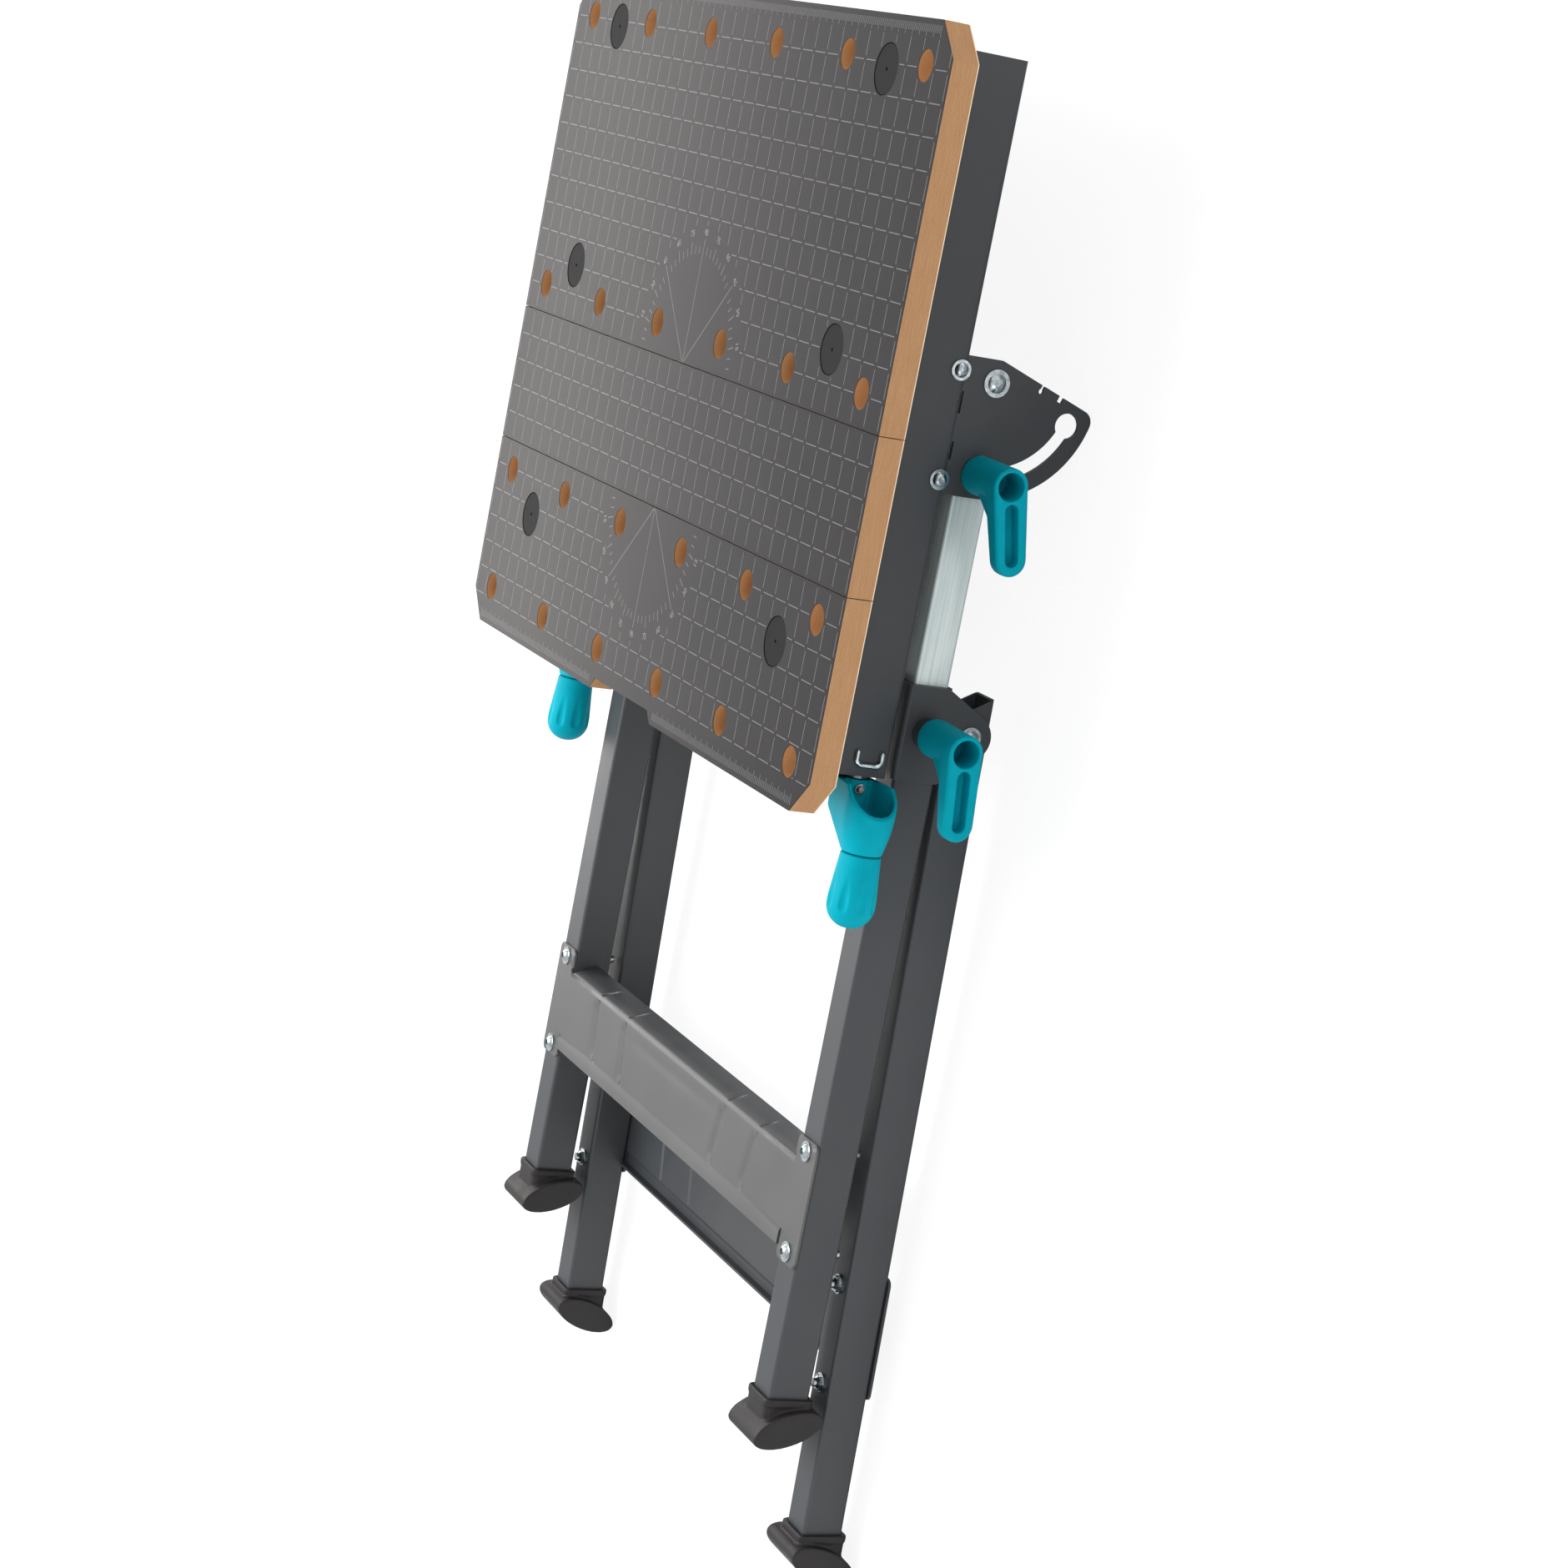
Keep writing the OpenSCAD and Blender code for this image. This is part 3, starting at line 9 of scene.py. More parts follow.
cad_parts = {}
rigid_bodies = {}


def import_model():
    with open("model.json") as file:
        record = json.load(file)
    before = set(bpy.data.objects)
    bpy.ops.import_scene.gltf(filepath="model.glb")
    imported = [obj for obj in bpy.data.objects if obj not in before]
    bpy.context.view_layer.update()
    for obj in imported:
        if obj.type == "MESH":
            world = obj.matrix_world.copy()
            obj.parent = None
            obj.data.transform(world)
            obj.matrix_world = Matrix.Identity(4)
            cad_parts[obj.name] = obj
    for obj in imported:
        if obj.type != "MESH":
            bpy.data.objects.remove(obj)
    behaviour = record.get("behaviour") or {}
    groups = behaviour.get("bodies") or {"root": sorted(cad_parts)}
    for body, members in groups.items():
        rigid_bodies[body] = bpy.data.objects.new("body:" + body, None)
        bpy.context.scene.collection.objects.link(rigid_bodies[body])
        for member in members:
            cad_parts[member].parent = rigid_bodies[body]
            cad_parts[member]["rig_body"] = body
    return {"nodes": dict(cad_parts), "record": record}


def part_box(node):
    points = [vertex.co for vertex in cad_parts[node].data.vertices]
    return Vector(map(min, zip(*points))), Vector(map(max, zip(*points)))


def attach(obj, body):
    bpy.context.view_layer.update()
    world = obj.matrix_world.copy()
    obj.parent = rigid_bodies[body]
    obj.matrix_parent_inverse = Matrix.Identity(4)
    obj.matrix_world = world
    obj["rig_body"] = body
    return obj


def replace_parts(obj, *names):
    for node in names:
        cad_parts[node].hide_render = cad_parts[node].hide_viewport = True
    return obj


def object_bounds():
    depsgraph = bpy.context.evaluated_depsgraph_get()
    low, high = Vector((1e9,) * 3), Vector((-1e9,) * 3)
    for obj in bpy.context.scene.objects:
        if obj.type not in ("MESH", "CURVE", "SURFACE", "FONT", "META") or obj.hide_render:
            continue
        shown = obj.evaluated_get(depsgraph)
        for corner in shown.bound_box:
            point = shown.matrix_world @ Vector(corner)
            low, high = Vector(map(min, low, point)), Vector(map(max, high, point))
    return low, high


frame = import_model()
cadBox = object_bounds()
nodes = frame["nodes"]
mm = 0.001

# The table's own places, read from the frame: the face is the top, the seam lies beside the panel
panelLow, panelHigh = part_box("middle_panel")
faceTop = panelHigh.z
panelLength = 100 * mm
seamY = (panelLow.y + panelHigh.y) / 2 + panelLength / 2
tableWidth = panelHigh.x - panelLow.x


# A point given in mm across the bench, towards its feet and behind the table face
def benchPoint(across, down, behind=0.0):
    return Vector((across * mm, seamY - down * mm, faceTop - behind * mm))


print("frame loaded,", len(nodes), "nodes")


# A shader or geometry socket whose expressions add Math nodes
class Wire:
    def __init__(self, graph, socket):
        self.graph = graph
        self.socket = socket

    def math(self, operation, *values):
        return self.graph.add("ShaderNodeMath", {"operation": operation}, dict(enumerate(values)))

    def __add__(self, other):
        return self.math("ADD", self, other)

    def __radd__(self, other):
        return self.math("ADD", other, self)

    def __sub__(self, other):
        return self.math("SUBTRACT", self, other)

    def __rsub__(self, other):
        return self.math("SUBTRACT", other, self)

    def __mul__(self, other):
        return self.math("MULTIPLY", self, other)

    def __rmul__(self, other):
        return self.math("MULTIPLY", other, self)

    def __abs__(self):
        return self.math("ABSOLUTE", self)

    def __gt__(self, other):
        return self.math("GREATER_THAN", self, other)

    def __lt__(self, other):
        return self.math("LESS_THAN", self, other)


# A node tree that is filled by one method: type, settings, then values or wires of its sockets
class Graph:
    def __init__(self, tree):
        self.tree = tree

    def add(self, kind, settings=None, inputs=None, output=0):
        node = self.tree.nodes.new(kind)
        for name, value in (settings or {}).items():
            setattr(node, name, value)
        for key, value in (inputs or {}).items():
            if isinstance(value, Wire):
                self.tree.links.new(value.socket, node.inputs[key])
            else:
                node.inputs[key].default_value = value
        self.last = node
        return Wire(self, node.outputs[output]) if node.outputs else node

    def other(self, name):
        return Wire(self, self.last.outputs[name])


# A material: its graph, object coordinates in mm and the usual helpers
class Finish(Graph):
    def __init__(self, name):
        self.material = bpy.data.materials.new(name)
        self.material.use_nodes = True
        self.material.node_tree.nodes.clear()
        super().__init__(self.material.node_tree)
        coordinates = self.add("ShaderNodeTexCoord", output="Object")
        self.place = self.scaled(coordinates, (1 / mm, 1 / mm, 1 / mm))

    def scaled(self, wire, factors):
        return self.add("ShaderNodeVectorMath", {"operation": "MULTIPLY"}, {0: wire, 1: factors})

    def axes(self, wire):
        first = self.add("ShaderNodeSeparateXYZ", inputs={0: wire})
        return first, self.other("Y"), self.other("Z")

    def noise(self, vector, scale, detail=3.0, roughness=0.5):
        return self.add("ShaderNodeTexNoise", {"noise_dimensions": "3D"},
                        {"Vector": vector, "Scale": scale, "Detail": detail, "Roughness": roughness})

    def blend(self, factor, first, second):
        return self.add("ShaderNodeMix", {"data_type": "RGBA"}, {0: factor, 6: first, 7: second}, output=2)

    def ramp(self, wire, low, high, start=0.0, end=1.0):
        return self.add("ShaderNodeMapRange", inputs={0: wire, 1: low, 2: high, 3: start, 4: end})

    def bump(self, height, strength, distance):
        return self.add("ShaderNodeBump", inputs={
            "Strength": strength, "Distance": distance, "Height": height})

    def attribute(self, name):
        return self.add("ShaderNodeAttribute", {"attribute_name": name}, output="Fac")

    def shader(self, **inputs):
        names = {"color": "Base Color", "rough": "Roughness", "metal": "Metallic", "normal": "Normal",
                 "level": "Specular IOR Level"}
        named = {names[key]: value for key, value in inputs.items()}
        return self.add("ShaderNodeBsdfPrincipled", inputs=named)

    def closed(self, shader):
        self.add("ShaderNodeOutputMaterial", inputs={"Surface": shader})
        return self.material

    def surface(self, **inputs):
        return self.closed(self.shader(**inputs))


def grey(value):
    return (value, value, value, 1)


# A colour made lighter or darker by a factor
def lifted(color, factor):
    return tuple(value * factor for value in color[:3]) + (1,)


# In all looks a noise has scale, detail and roughness, a spread is where one colour blends into the next,
# rough has a first and a last value, and a bump has its strength and its height in m


# The printed face of a board, its raw fibre edges and the walls of its holes; the dark gap colour is painted
# shade, in the seams between the boards and in the seats of the caps
boardLook = {
    "print": (0.0125, 0.0116, 0.0126, 1), "printSoft": (0.0150, 0.0139, 0.0146, 1), "filmDepth": 0.3,
    "edge": (0.46, 0.265, 0.137, 1), "edgeDark": (0.34, 0.185, 0.088, 1),
    "pale": (0.80, 0.66, 0.48, 1), "paleStart": 17.3, "hole": (0.50, 0.265, 0.115, 1),
    "back": (0.030, 0.026, 0.024, 1), "backStart": 17.9,
    "gapShade": (0.030, 0.024, 0.020, 1), "gapHalf": 0.6, "gapDeep": 1.2, "gapInset": 0.6,
    "cloud": (0.012, 2.0), "grain": (2.2, 2.0, 0.6), "printGrain": 0.25, "printSpread": (0.45, 0.85),
    "strandStretch": (0.05, 0.05, 1.6), "strand": (1.0, 4.0, 0.65), "strandShare": 0.6,
    "fleckStretch": (1, 1, 1.4), "fleck": (0.9, 5.0, 0.75), "fleckShare": 0.5, "edgeSpread": (0.38, 0.72),
    "printRough": 0.31, "edgeRough": 0.75, "grainRough": 0.08, "grainHeight": 0.35,
    "bump": (0.25, 0.0002), "level": 0.04,
}


def boardFinish():
    look = boardLook
    made = Finish("boardFinish")
    x, y, z = made.axes(made.place)
    depth = faceTop / mm - z
    printed = depth < look["filmDepth"]
    cloud = made.noise(made.place, *look["cloud"])
    grain = made.noise(made.place, *look["grain"])
    soft = made.ramp(cloud + grain * look["printGrain"], *look["printSpread"])
    face = made.blend(soft, look["print"], look["printSoft"])
    strand = made.noise(made.scaled(made.place, look["strandStretch"]), *look["strand"])
    fleck = made.noise(made.scaled(made.place, look["fleckStretch"]), *look["fleck"])
    pale = made.ramp(strand * look["strandShare"] + fleck * look["fleckShare"], *look["edgeSpread"])
    edge = made.blend(pale, look["edgeDark"], look["edge"])
    edge = made.blend(depth > look["paleStart"], edge, look["pale"])
    bore = made.attribute("bore")
    edge = made.blend(bore, edge, look["hole"])
    # Painted shade: the seats of the caps take the dark gap colour, as the shade in their ring gaps
    edge = made.blend(bore * -1, edge, look["gapShade"])
    edge = made.blend(depth > look["backStart"], edge, look["back"])
    # Painted shade: the boards' end faces at the two seams, near the face, take the dark gap colour as the
    # shade of the narrow gaps
    firstSeam = abs(seamY / mm - y) < look["gapHalf"]
    secondSeam = abs((seamY - panelLength) / mm - y) < look["gapHalf"]
    inside = abs(x) < tableWidth / mm / 2 - look["gapInset"]
    edge = made.blend((firstSeam + secondSeam) * (inside * (depth < look["gapDeep"])), edge, look["gapShade"])
    color = made.blend(printed, edge, face)
    roughStep = look["printRough"] - look["edgeRough"]
    rough = printed * roughStep + look["edgeRough"] + grain * look["grainRough"]
    normal = made.bump(fleck * (1 - printed) + grain * look["grainHeight"], *look["bump"])
    return made.surface(color=color, rough=rough, normal=normal, level=look["level"])


# Powder coat with a fine orange peel and a little dust-pale unevenness
paintLook = {"base": (0.0335, 0.0375, 0.0420, 1), "worn": (0.0395, 0.0435, 0.0480, 1), "spread": (0.35, 0.7),
             "cloud": (0.02, 3.0), "peel": (0.9, 2.0, 0.4), "peelShare": 0.2, "roughSpread": (0.4, 0.8),
             "rough": (0.44, 0.53), "bump": (0.18, 0.0002), "level": 0.42}
# The front tread is paler, and its folds that reach back behind its face are darker: painted shade
treadLook = {**paintLook, "base": (0.062, 0.062, 0.063, 1), "worn": (0.072, 0.072, 0.072, 1),
             "rough": (0.4, 0.49), "level": 0.5,
             "under": (0.022, 0.024, 0.027, 1), "underStart": 95.2, "underEnd": 103.0}


def paintFinish(name, lift=1.0, look=paintLook):
    made = Finish(name)
    cloud = made.noise(made.place, *look["cloud"])
    peel = made.noise(made.place, *look["peel"])
    worn = made.ramp(cloud, *look["spread"])
    color = made.blend(worn, lifted(look["base"], lift), lifted(look["worn"], lift))
    # Painted shade: darker with depth over the tread's folds behind its face
    if "under" in look:
        depth = faceTop / mm - made.axes(made.place)[2]
        color = made.blend(made.ramp(depth, look["underStart"], look["underEnd"]), color, look["under"])
    rough = made.ramp(cloud + peel * look["peelShare"], *look["roughSpread"], *look["rough"])
    normal = made.bump(peel, *look["bump"])
    return made.surface(color=color, rough=rough, normal=normal, level=look["level"])


# Zinc of the screws, nuts, washers, spindles and clips
zincLook = {"base": (0.62, 0.65, 0.66, 1), "blue": (0.24, 0.30, 0.33, 1), "spread": (0.3, 0.7),
            "cloud": (0.35, 4.0, 0.6), "roughSpread": (0.3, 0.75), "rough": (0.17, 0.33), "metal": 1.0,
            "bump": (0.1, 0.0002)}


def zincFinish(name, lift=1.0):
    look = zincLook
    made = Finish(name)
    cloud = made.noise(made.place, *look["cloud"])
    blue = made.ramp(cloud, *look["spread"])
    color = made.blend(blue, lifted(look["base"], lift), lifted(look["blue"], lift))
    rough = made.ramp(cloud, *look["roughSpread"], *look["rough"])
    normal = made.bump(cloud, *look["bump"])
    return made.surface(color=color, rough=rough, metal=look["metal"], normal=normal)


# Galvanised tube with drawing lines along the mast
mastLook = {"base": (0.72, 0.79, 0.78, 1), "dark": (0.50, 0.59, 0.59, 1), "spread": (0.4, 0.7),
            "streakStretch": (1.1, 0.006, 1.1), "streak": (1.0, 4.0, 0.6), "streakShare": 0.7,
            "cloudStretch": (0.12, 0.02, 0.12), "cloud": (1.0, 3.0), "cloudShare": 0.4,
            "roughSpread": (0.3, 0.7), "rough": (0.50, 0.38), "metal": 0.35, "bump": (0.12, 0.0002)}


def mastFinish():
    look = mastLook
    made = Finish("mastFinish")
    streak = made.noise(made.scaled(made.place, look["streakStretch"]), *look["streak"])
    cloud = made.noise(made.scaled(made.place, look["cloudStretch"]), *look["cloud"])
    bright = made.ramp(streak * look["streakShare"] + cloud * look["cloudShare"], *look["spread"])
    color = made.blend(bright, look["dark"], look["base"])
    rough = made.ramp(streak, *look["roughSpread"], *look["rough"])
    normal = made.bump(streak, *look["bump"])
    return made.surface(color=color, rough=rough, metal=look["metal"], normal=normal)


# Teal nylon of the levers, cranks and grips: satin, with a fine eroded mould surface
tealLook = {"base": (0.0, 0.30, 0.385, 1), "deep": (0.0, 0.27, 0.350, 1), "spread": (0.35, 0.7),
            "cloud": (0.05, 2.0), "pore": (3.2, 2.0, 0.5), "roughSpread": (0.3, 0.7), "rough": (0.5, 0.58),
            "bump": (0.12, 0.0001), "level": 0.05}


def tealFinish(name, lift=1.0):
    look = tealLook
    made = Finish(name)
    cloud = made.noise(made.place, *look["cloud"])
    pore = made.noise(made.place, *look["pore"])
    deep = made.ramp(cloud, *look["spread"])
    color = made.blend(deep, lifted(look["base"], lift), lifted(look["deep"], lift))
    rough = made.ramp(pore, *look["roughSpread"], *look["rough"])
    normal = made.bump(pore, *look["bump"])
    return made.surface(color=color, rough=rough, normal=normal, level=look["level"])


# Black and dark grey mouldings
mouldLook = {"black": (0.014, 0.014, 0.016, 1), "cap": (0.0125, 0.0125, 0.0135, 1), "lift": 1.35,
             "spread": (0.4, 0.7), "pore": (2.4, 3.0, 0.6), "roughSpread": (0.3, 0.7), "rough": (0.68, 0.80),
             "bump": (0.2, 0.0002), "level": 0.06}


def mouldFinish(name, base):
    look = mouldLook
    made = Finish(name)
    pore = made.noise(made.place, *look["pore"])
    color = made.blend(made.ramp(pore, *look["spread"]), base, lifted(base, look["lift"]))
    rough = made.ramp(pore, *look["roughSpread"], *look["rough"])
    normal = made.bump(pore, *look["bump"])
    return made.surface(color=color, rough=rough, normal=normal, level=look["level"])


# Rubber of the feet, with faint clouds of dust
rubberLook = {"base": (0.0105, 0.0088, 0.0088, 1), "dust": (0.0165, 0.014, 0.0138, 1), "spread": (0.45, 0.8),
              "cloud": (0.09, 4.0, 0.6), "pore": (2.0, 3.0, 0.6), "poreShare": 0.3,
              "roughSpread": (0.4, 0.9), "rough": (0.42, 0.60), "bump": (0.25, 0.0002), "level": 0.32}


def rubberFinish():
    look = rubberLook
    made = Finish("rubberFinish")
    cloud = made.noise(made.place, *look["cloud"])
    pore = made.noise(made.place, *look["pore"])
    color = made.blend(made.ramp(cloud, *look["spread"]), look["base"], look["dust"])
    rough = made.ramp(cloud + pore * look["poreShare"], *look["roughSpread"], *look["rough"])
    normal = made.bump(pore, *look["bump"])
    return made.surface(color=color, rough=rough, normal=normal, level=look["level"])


# Pale ink of the printed grid, which stands a little above the board and reaches a little into it, in mm
inkLook = {"base": (0.150, 0.149, 0.150, 1), "thin": (0.120, 0.119, 0.120, 1), "spread": (0.35, 0.7),
           "wear": (0.6, 3.0, 0.6), "rough": 0.31, "level": 0.04, "rise": 0.04, "sink": 0.03}
inkThick = inkLook["rise"] + inkLook["sink"]
inkMiddle = (inkLook["sink"] - inkLook["rise"]) / 2


def inkFinish():
    look = inkLook
    made = Finish("inkFinish")
    wear = made.noise(made.place, *look["wear"])
    color = made.blend(made.ramp(wear, *look["spread"]), look["base"], look["thin"])
    return made.surface(color=color, rough=look["rough"], level=look["level"])


finishes = {
    "print": boardFinish(),
    "frame_paint": paintFinish("paintFinish"),
    "zinc": zincFinish("zincFinish"),
    "mast_zinc": mastFinish(),
    "teal_plastic": tealFinish("tealFinish"),
    "black_plastic": mouldFinish("blackFinish", mouldLook["black"]),
    "cap_plastic": mouldFinish("capFinish", mouldLook["cap"]),
    "foot_rubber": rubberFinish(),
}
ink = inkFinish()
# Painted highlight: a paint 2.6 times lighter for the bevelled rims of painted pieces, as the light they
# catch
paintedEdgeHighlight = paintFinish("paintedEdgeHighlight", lift=2.6)
darkSteel = zincFinish("darkSteel", lift=0.4)
# Painted light: the cranks and grips take the teal lifted by 1.1, for the brighter light on them
tealCrankPaintedLight = tealFinish("tealCrankPaintedLight", lift=1.1)

# Nodes whose finish departs from their slot's: paler or darker paint, steel and teal; the lighter teal of
# the cranks and grips is painted light
ownFinishes = {
    "front_tread": paintFinish("frontTreadPaint", look=treadLook),
    "rear_tread": paintFinish("rearTreadPaint", lift=0.85),
    "spindle_left": darkSteel, "spindle_right": darkSteel,
    "crank_screw_left": darkSteel, "crank_screw_right": darkSteel,
    "spindle_clips": zincFinish("brightWire", lift=1.4),
    "crank_left": tealCrankPaintedLight, "crank_right": tealCrankPaintedLight, "grip_left": tealCrankPaintedLight, "grip_right": tealCrankPaintedLight,
}
slotOf = {part["node"]: part["material_slot"] for part in frame["record"]["subparts"]}
for name, node in nodes.items():
    node.data.materials.clear()
    node.data.materials.append(ownFinishes.get(name, finishes[slotOf[name]]))
print("finishes made,", len(bpy.data.materials))

# How meshes are cleaned and shaded: welding distance in m, angles in degrees
meshCare = {"weld": 2e-6, "flat": 0.6, "sharp": 34}


# Copies a CAD node as a clean mesh whose loose triangles are joined
def cleanCopy(name):
    made = bmesh.new()
    made.from_mesh(nodes[name].data)
    bmesh.ops.remove_doubles(made, verts=made.verts, dist=meshCare["weld"])
    return made


# The same with the triangles of each flat joined to one face
def flatCopy(name):
    made = cleanCopy(name)
    flat = math.radians(meshCare["flat"])
    bmesh.ops.dissolve_limit(made, angle_limit=flat, verts=made.verts, edges=made.edges)
    return made


def shadeByAngle(piece):
    piece.data.shade_smooth()
    piece.data.set_sharp_from_angle(angle=math.radians(meshCare["sharp"]))


def addPiece(name, shape, slot):
    mesh = bpy.data.meshes.new(name)
    shape.to_mesh(mesh)
    shape.free()
    piece = bpy.data.objects.new(name, mesh)
    bpy.context.scene.collection.objects.link(piece)
    mesh.materials.append(ownFinishes.get(name.split(".")[0], finishes[slot]))
    return piece


def applied(piece):
    bpy.context.view_layer.update()
    graph = bpy.context.evaluated_depsgraph_get()
    mesh = bpy.data.meshes.new_from_object(piece.evaluated_get(graph))
    piece.modifiers.clear()
    piece.data = mesh
    return piece


# Broken edges: nodes cut from sheet, tube or board get a narrow rounded edge
edgeWidths = {
    "rear_jaw_board": 0.2, "middle_panel": 0.2, "front_jaw_board": 0.2, "rear_board_caps": 0.4,
    "front_board_caps": 0.4, "cross_rail": 0.4,
    "tilt_plate_left": 0.35, "tilt_plate_right": 0.35, "head_bracket_left": 0.5, "head_bracket_right": 0.5,
    "front_leg_left": 0.25, "front_leg_right": 0.25, "rear_leg_left": 0.25, "rear_leg_right": 0.25,
    "mast_left": 0.25, "mast_right": 0.25, "height_bosses": 0.6, "spindle_bearings": 0.6,
    "jaw_carriage_left": 0.6, "jaw_carriage_right": 0.6,
}
edgeLook = {"segments": 2, "sharpest": 32, "weight": 100}


def brokenEdges(name, width):
    shape = flatCopy(name)
    for face in shape.faces:
        face.smooth = True
    piece = addPiece(name + ".finished", shape, slotOf[name])
    bevel = piece.modifiers.new("edges", "BEVEL")
    bevel.width = width * mm
    bevel.segments = edgeLook["segments"]
    bevel.limit_method = "ANGLE"
    bevel.angle_limit = math.radians(edgeLook["sharpest"])
    bevel.use_clamp_overlap = True
    # Painted highlight: the bevel faces of painted pieces take the lighter rim paint
    if slotOf[name] == "frame_paint":
        piece.data.materials.append(paintedEdgeHighlight)
        bevel.material = 1
    weighted = piece.modifiers.new("flats", "WEIGHTED_NORMAL")
    weighted.weight = edgeLook["weight"]
    applied(piece)
    if slotOf[name] == "print":
        markBores(piece)
    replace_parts(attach(piece, nodes[name]["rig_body"]), name)


# Places of the dog holes and of the caps over the board bolts; walls are marked a little beyond the rims
dogLook = {"radius": 10, "pitch": 115, "steps": (0.5, 1.5, 2.5), "rows": (-221.5, -21, 121, 211.5)}
capLook = {"radius": 16.4, "across": (-233, 233), "rows": (-216, -41, 146)}
markMargin = 1.5
dogAcross = [side * step * dogLook["pitch"] for side in (-1, 1) for step in dogLook["steps"]]
dogHoles = [(across, down) for across in dogAcross for down in dogLook["rows"]]
capHoles = [(across, down) for across in capLook["across"] for down in capLook["rows"]]


# Whether a point lies within a reach of one of the places
def nearOne(places, across, down, reach):
    return any(math.hypot(across - x, down - y) < reach for x, y in places)


# Marks the walls of the dog holes, more orange than the outer edges, and the seats of the caps, which get
# painted shade
def markBores(piece):
    bore = piece.data.attributes.new("bore", "FLOAT", "POINT")
    for vertex in piece.data.vertices:
        across = vertex.co.x / mm
        down = (seamY - vertex.co.y) / mm
        dog = nearOne(dogHoles, across, down, dogLook["radius"] + markMargin)
        cap = nearOne(capHoles, across, down, capLook["radius"] + markMargin)
        bore.data[vertex.index].value = float(dog) - float(cap)


for name, width in edgeWidths.items():
    brokenEdges(name, width)
print("edges broken on", len(edgeWidths), "pieces")

# Moulded pieces: remeshed and smoothed, so that every edge is round as out of a mould
mouldedVoxels = {
    "tilt_lever_left": 0.55, "tilt_lever_right": 0.55, "height_lever_left": 0.55, "height_lever_right": 0.55,
    "crank_left": 0.55, "crank_right": 0.55, "grip_left": 0.55, "grip_right": 0.55,
    "front_foot_left": 0.7, "front_foot_right": 0.7, "rear_foot_left": 0.7, "rear_foot_right": 0.7,
}
softening = {"passes": 6, "factor": 0.6}


def moulded(name, voxel):
    piece = addPiece(name + ".moulded", cleanCopy(name), slotOf[name])
    remesh = piece.modifiers.new("skin", "REMESH")
    remesh.mode = "VOXEL"
    remesh.voxel_size = voxel * mm
    soften = piece.modifiers.new("soften", "CORRECTIVE_SMOOTH")
    soften.iterations = softening["passes"]
    soften.factor = softening["factor"]
    soften.use_only_smooth = True
    applied(piece)
    piece.data.shade_smooth()
    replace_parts(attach(piece, nodes[name]["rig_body"]), name)


for name, voxel in mouldedVoxels.items():
    moulded(name, voxel)
print("moulded", len(mouldedVoxels), "pieces")


# One Geometry Nodes tree sets a flat box of ink on each point of a mesh, turned by the point's attribute
# and as long and wide as its other one says
def stampTree():
    tree = bpy.data.node_groups.new("stampTree", "GeometryNodeTree")
    tree.interface.new_socket("Geometry", in_out="INPUT", socket_type="NodeSocketGeometry")
    tree.interface.new_socket("Thickness", in_out="INPUT", socket_type="NodeSocketFloat")
    tree.interface.new_socket("Ink", in_out="INPUT", socket_type="NodeSocketMaterial")
    tree.interface.new_socket("Geometry", in_out="OUTPUT", socket_type="NodeSocketGeometry")
    graph = Graph(tree)
    points = graph.add("NodeGroupInput")
    thickness = graph.other("Thickness")
    inkSocket = graph.other("Ink")
    box = graph.add("GeometryNodeMeshCube", inputs={"Size": (1, 1, 1)})
    angles = graph.add("GeometryNodeInputNamedAttribute", {"data_type": "FLOAT_VECTOR"}, {"Name": "turn"})
    turned = graph.add("FunctionNodeEulerToRotation", inputs={0: angles})
    sizes = graph.add("GeometryNodeInputNamedAttribute", {"data_type": "FLOAT_VECTOR"}, {"Name": "size"})
    thick = graph.add("ShaderNodeCombineXYZ", inputs={0: 1, 1: 1, 2: thickness})
    scale = graph.add("ShaderNodeVectorMath", {"operation": "MULTIPLY"}, {0: sizes, 1: thick})
    placed = graph.add("GeometryNodeInstanceOnPoints", inputs={
        "Points": points, "Instance": box, "Rotation": turned, "Scale": scale})
    real = graph.add("GeometryNodeRealizeInstances", inputs={0: placed})
    inked = graph.add("GeometryNodeSetMaterial", inputs={"Geometry": real, "Material": inkSocket})
    graph.add("NodeGroupOutput", inputs={0: inked})
    return tree


stamps = stampTree()


# Prints strokes on a body: each is (across, down, length, width, angle) in mm and degrees
def printStrokes(name, body, strokes):
    mesh = bpy.data.meshes.new(name)
    mesh.from_pydata([benchPoint(stroke[0], stroke[1], inkMiddle) for stroke in strokes], [], [])
    turn = mesh.attributes.new("turn", "FLOAT_VECTOR", "POINT")
    size = mesh.attributes.new("size", "FLOAT_VECTOR", "POINT")
    for index, (across, down, length, width, angle) in enumerate(strokes):
        turn.data[index].vector = (0, 0, math.radians(angle))
        size.data[index].vector = (length * mm, width * mm, 1)
    piece = bpy.data.objects.new(name, mesh)
    bpy.context.scene.collection.objects.link(piece)
    modifier = piece.modifiers.new("stamps", "NODES")
    modifier.node_group = stamps
    sockets = {socket.name: socket.identifier for socket in stamps.interface.items_tree
               if socket.in_out == "INPUT"}
    modifier[sockets["Thickness"]] = inkThick * mm
    modifier[sockets["Ink"]] = ink
    applied(piece)
    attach(piece, body)


# The grid is printed in squares of 20 mm, each dash centred in its square's side
gridLook = {"pitch": 20, "columns": 16, "dash": 15.5, "width": 0.6, "step": 0.5, "shortest": 1.5,
            "holeClear": 1.5, "arcClear": 94, "arcBehind": 0.5}
protractors = {"rear": {"down": 0, "sign": -1}, "front": {"down": 100, "sign": 1}}


